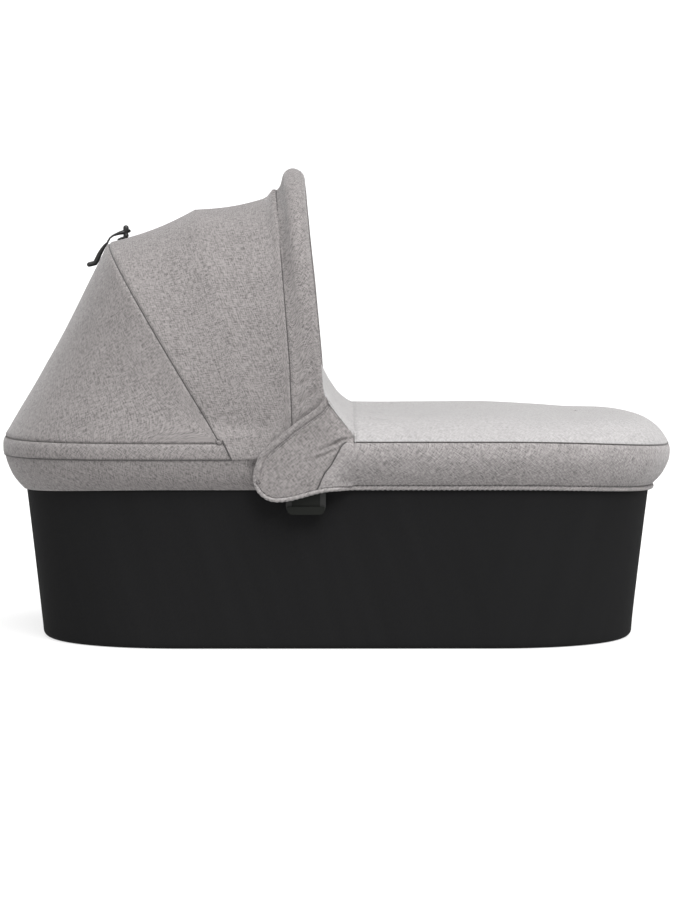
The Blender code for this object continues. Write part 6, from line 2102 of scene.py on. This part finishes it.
    def wing_borders(self) -> tuple[list[Pair], list[Pair]]:
        """Give a wing's two borders from its rear tip to its top.

        Returns:
            The cuff's edge, and the edge round the lobe, up the seam and up the collar's side.
        """
        rear = self.lobe_x - self.lobe_radius
        top_x, top_z = self.side_curve[-1]
        cuff = list(placed_curve(self.cuff_shares, rear, self.lobe_z, top_x - rear,
                                 top_z - self.lobe_z))
        steps = self.border_steps
        border = self.lobe_line(self.lobe_radius - 2 * self.piping - 2 * FIT, steps)
        seam = self.seam_line()
        for step in range(steps):
            x = self.lobe_x + (seam[0][0] - self.lobe_x) * step / steps
            border.append((x, self.wing_cloth_edge(x)))
        border += [(x - FIT, z) for x, z in seam]
        border.append((self.start - FIT, self.side_seam + FIT))
        border += [bezier(self.side_curve, (step + 1) / self.border_side_steps)
                   for step in range(self.border_side_steps)]
        count = self.wing_columns + 1
        fine = resample([Vector((x, z, 0)) for x, z in border], count)
        return smooth_line(cuff, count), [(point.x, point.y) for point in fine]

    def wing_surface(self, side: int, cuff: list[Pair], border: list[Pair]) -> Surface:
        """Give a wing's plain surface, its front corner turned inwards.

        Args:
            side: The side's sign.
            cuff: The border along the cuff.
            border: The border opposite.

        Returns:
            The surface between the two.
        """
        rows = []
        for row in range(self.wing_rows + 1):
            share = row / self.wing_rows
            line = []
            for (cuff_x, cuff_z), (edge_x, edge_z) in zip(cuff, border):
                x = edge_x + (cuff_x - edge_x) * share
                z = edge_z + (cuff_z - edge_z) * share
                line.append(Vector((x, side * self.wing_y(x, z), z)))
            rows.append(line if side < 0 else list(reversed(line)))
        surface = Surface(rows)
        flat = surface.points[..., [0, 2]]
        corner = [bezier(self.side_curve, step / self.corner_steps)
                  for step in range(self.corner_steps + 1)]
        from_corner, place = distance_to(corner, flat)
        near = np.clip(1 - from_corner / self.corner_width, 0.0, 1.0) ** 2
        surface.points[..., 1] -= side * self.corner_pull(place) * near
        return surface

    def wing_lift(self, points: np.ndarray, cuff: list[Pair], seed: Seed) -> np.ndarray:
        """Give how far a wing's cuff, stitched lines, creases and seam stand out.

        Args:
            points: The wing's points.
            cuff: The border along the cuff.
            seed: Where its unevenness starts.

        Returns:
            The height of each point.
        """
        flat = points[..., [0, 2]]
        from_cuff, _ = distance_to(cuff, flat)
        from_seam, _ = distance_to(self.seam_line(), flat)
        middle = self.cuff_width / 2
        lift = self.cuff_rise * np.sqrt(np.clip(1 - ((from_cuff - middle) / middle) ** 2, 0.0, 1.0))
        for place in self.cuff_lines:
            groove = np.exp(-((from_cuff - place) / self.cuff_line_width) ** 2)
            lift = lift - self.cuff_line_depth * groove
        calm = smooth_array(from_cuff, self.cuff_width, self.cuff_width * 2)
        for crease in self.wing_creases:
            lift = lift + crease.lift(points) * calm
        lift = lift + rumple(points, self.wing_swell_reach, seed) * self.wing_swell * calm
        lift = lift - self.seam_tuck * (1 - smooth_array(from_seam, 0.0, self.seam_width))
        tip = np.linalg.norm(flat - np.array(cuff[0]), axis=-1)
        return lift * smooth_array(tip, 0.0, self.tip_calm)

    def build_wing(self, side_name: str, side: int) -> bpy.types.Object:
        """Build the flap that wraps over the hood's hinge, with its lobe and folded cuff.

        Args:
            side_name: The side's name.
            side: The side's sign.

        Returns:
            The flap.
        """
        cuff, border = self.wing_borders()
        surface = self.wing_surface(side, cuff, border)
        seed = Seed[f"WING_{side_name.upper()}"]
        surface.raise_by(self.wing_lift(surface.points, cuff, seed))
        places = surface.points[..., [0, 2]].copy()
        wing = Skin().add(surface, self.wing_sheet, places).make(f"wing_{side_name}", cloth("wing"))
        seat(wing, "apron", f"wing_flap_{side_name}", f"wing_flap_{side_name}")
        surface.area()
        return wing


# Mattress

@dataclass
class Mattress:
    """The loose mattress: a cushion that puffs up in its cover."""

    bottom: float = 0.0086
    height: float = 0.038
    crown: float = 0.007
    gap: float = 0.0115
    corner: float = 0.009
    draw: float = 0.003
    arc_steps: int = 18
    side_steps: int = 24
    voxel: float = 0.006
    pressure: float = 4.0
    cap: float = 0.005
    frames: int = 20
    quality: int = 4
    fill: float = 0.8
    floor_share: float = 0.9
    round_steps: int = 6
    crown_shares: tuple[float, ...] = (0.0, 0.12, 0.3, 0.5, 0.7, 0.9)

    def rows(self) -> list[Line]:
        """Give the rings from the underside's edge to the crown."""
        stations = TUB.closed_stations(self.arc_steps, self.side_steps)
        half_width = TUB.half_width(self.bottom) - self.gap
        turns = [pi / 2 * step / self.round_steps for step in range(self.round_steps)]
        profile = [(0.0, self.gap + half_width * self.floor_share)]
        profile += [(self.corner * (1 - cos(turn)), self.gap + self.corner * (1 - sin(turn)))
                    for turn in turns]
        profile.append((self.height / 2, self.gap + self.draw))
        profile += [(self.height - self.corner * (1 - sin(turn)),
                     self.gap + self.corner * (1 - cos(turn))) for turn in turns]
        for share in self.crown_shares:
            inset = self.gap + self.corner + (half_width - self.corner) * share
            profile.append((self.height + self.crown * sin(share * pi / 2), inset))
        return [[TUB.wall_point(s, self.bottom, -inset) + Vector((0, 0, level)) for s in stations]
                for level, inset in profile]

    def build(self) -> bpy.types.Object:
        """Build the cushion, puffed up by a short cloth simulation."""
        surface = Surface(self.rows(), closed=True)
        pad = Skin().add(surface, caps=(True, True)).make("mattress_pad", QUILT.make("quilt"))
        self.puff(pad)
        pad.data.shade_smooth()
        seat(pad, "mattress", "mattress", "mattress")
        return pad

    def puff(self, pad: bpy.types.Object) -> None:
        """Remesh the cushion, blow it up a little and keep the result."""
        apply_step(pad, "REMESH", mode="VOXEL", voxel_size=self.voxel)
        start = np.empty(len(pad.data.vertices) * 3, dtype=np.float32)
        pad.data.vertices.foreach_get("co", start)
        step = pad.modifiers.new("cloth", "CLOTH")
        step.settings.use_pressure = True
        step.settings.uniform_pressure_force = self.pressure
        step.settings.effector_weights.gravity = 0.0
        step.settings.quality = self.quality
        step.point_cache.frame_start = 1
        step.point_cache.frame_end = self.frames
        for number in range(1, self.frames + 1):
            bpy.context.scene.frame_set(number)
        view = bpy.context.evaluated_depsgraph_get()
        puffed = bpy.data.meshes.new_from_object(pad.evaluated_get(view))
        places = np.empty_like(start)
        puffed.vertices.foreach_get("co", places)
        bpy.data.meshes.remove(puffed)
        pad.modifiers.remove(step)
        bpy.context.scene.frame_set(1)
        move = (places - start).reshape(-1, 3)
        length = np.linalg.norm(move, axis=1, keepdims=True)
        move = move * np.minimum(1.0, self.cap / np.maximum(length, TINY))
        settled = start.reshape(-1, 3) + move
        settled[:, 2] = np.maximum(settled[:, 2], self.bottom)
        pad.data.vertices.foreach_set("co", settled.astype(np.float32).ravel())
        apply_step(pad, "SUBSURF", levels=1, render_levels=1)


# Studio

@dataclass(frozen=True)
class Studio:
    """The camera, the soft light and the pale floor."""

    distance: float = 5.0
    camera_side: float = -0.02
    camera_height: float = 0.641
    aim_height: float = 0.2317
    lens: float = 158.8
    sensor: float = 36.0
    sky: float = 0.70
    horizon: float = 1.15
    horizon_low: float = 0.05
    horizon_high: float = 0.22
    sun: float = 5.6
    sun_angle: float = radians(50)
    sun_from: Triple = (0.25, -0.50, 0.82)
    view_depth: float = 120.0
    floor_half: float = 30.0
    floor_drop: float = 0.0005
    floor_colour: Colour = (0.26, 0.26, 0.26)
    floor_contrast: float = 0.01
    floor_cloud: float = 0.4
    floor_roughness: float = 0.9
    floor_specular: float = 0.1
    floor_glow: float = 0.72

    def set_up(self) -> None:
        """Set up camera, light, world and floor."""
        scene = bpy.context.scene
        scene.view_settings.view_transform = "Standard"
        lens = bpy.data.cameras.new("camera")
        lens.lens = self.lens
        lens.sensor_width = self.sensor
        lens.clip_end = self.view_depth
        camera = add_object("camera", lens)
        camera.location = (self.camera_side, -self.distance, self.camera_height)
        way = Vector((0, 0, self.aim_height)) - camera.location
        camera.rotation_euler = way.to_track_quat("-Z", "Y").to_euler()
        scene.camera = camera
        self.add_sky()
        lamp = bpy.data.lights.new("softbox", "SUN")
        lamp.energy = self.sun
        lamp.angle = self.sun_angle
        light = add_object("softbox", lamp)
        light.rotation_euler = (-Vector(self.sun_from)).to_track_quat("-Z", "Y").to_euler()
        self.add_floor()

    def add_sky(self) -> None:
        """Add an even sky that is paler towards the horizon."""
        world = bpy.data.worlds.new("studio")
        world.use_nodes = True
        tree = world.node_tree
        way = tree.nodes.new("ShaderNodeTexCoord")
        split = tree.nodes.new("ShaderNodeSeparateXYZ")
        level = tree.nodes.new("ShaderNodeMapRange")
        level.interpolation_type = "SMOOTHSTEP"
        tree.links.new(way.outputs["Generated"], split.inputs[0])
        tree.links.new(split.outputs["Z"], level.inputs["Value"])
        for key, value in (("From Min", self.horizon_low), ("From Max", self.horizon_high),
                           ("To Min", self.horizon), ("To Max", self.sky)):
            level.inputs[key].default_value = value
        sky = tree.nodes["Background"]
        sky.inputs["Color"].default_value = WHITE
        tree.links.new(level.outputs[0], sky.inputs["Strength"])
        bpy.context.scene.world = world

    def add_floor(self) -> None:
        """Add the floor under the carrycot."""
        half, drop = self.floor_half, -self.floor_drop
        mesh = bpy.data.meshes.new("floor")
        mesh.from_pydata([(-half, -half, drop), (half, -half, drop), (half, half, drop),
                          (-half, half, drop)], [], [(0, 1, 2, 3)])
        graph = NodeGraph("floor")
        cloud = graph.stretched_noise(graph.object_places(), (self.floor_cloud,) * 3)
        colour = graph.mix(cloud, shade(self.floor_colour, -self.floor_contrast),
                           shade(self.floor_colour, self.floor_contrast))
        mesh.materials.append(graph.finish(Base_Color=colour, Roughness=self.floor_roughness,
                                           Specular_IOR_Level=self.floor_specular,
                                           Emission_Color=WHITE, Emission_Strength=self.floor_glow))
        add_object("floor", mesh)


def main() -> None:
    """Build the carrycot's pieces in order and report each one."""
    logging.basicConfig(level=logging.INFO, format="%(name)s: %(message)s")
    Studio().set_up()
    dress_nodes()
    tub = TubCover()
    tub.build_cover()
    tub.build_lining()
    band = HeadBand()
    band.build_band()
    band.build_strip()
    hood = HoodCloth()
    hood.build_rear()
    hood.build_front()
    hood.build_seams()
    Visor().build()
    VentStrap().build()
    apron = Apron()
    apron.build_side()
    apron.build_top()
    apron.build_seam()
    apron.build_piping()
    apron.build_collar()
    for side_name, side in SIDES.items():
        apron.build_wing(side_name, side)
    Mattress().build()


if __name__ == "__main__":
    main()
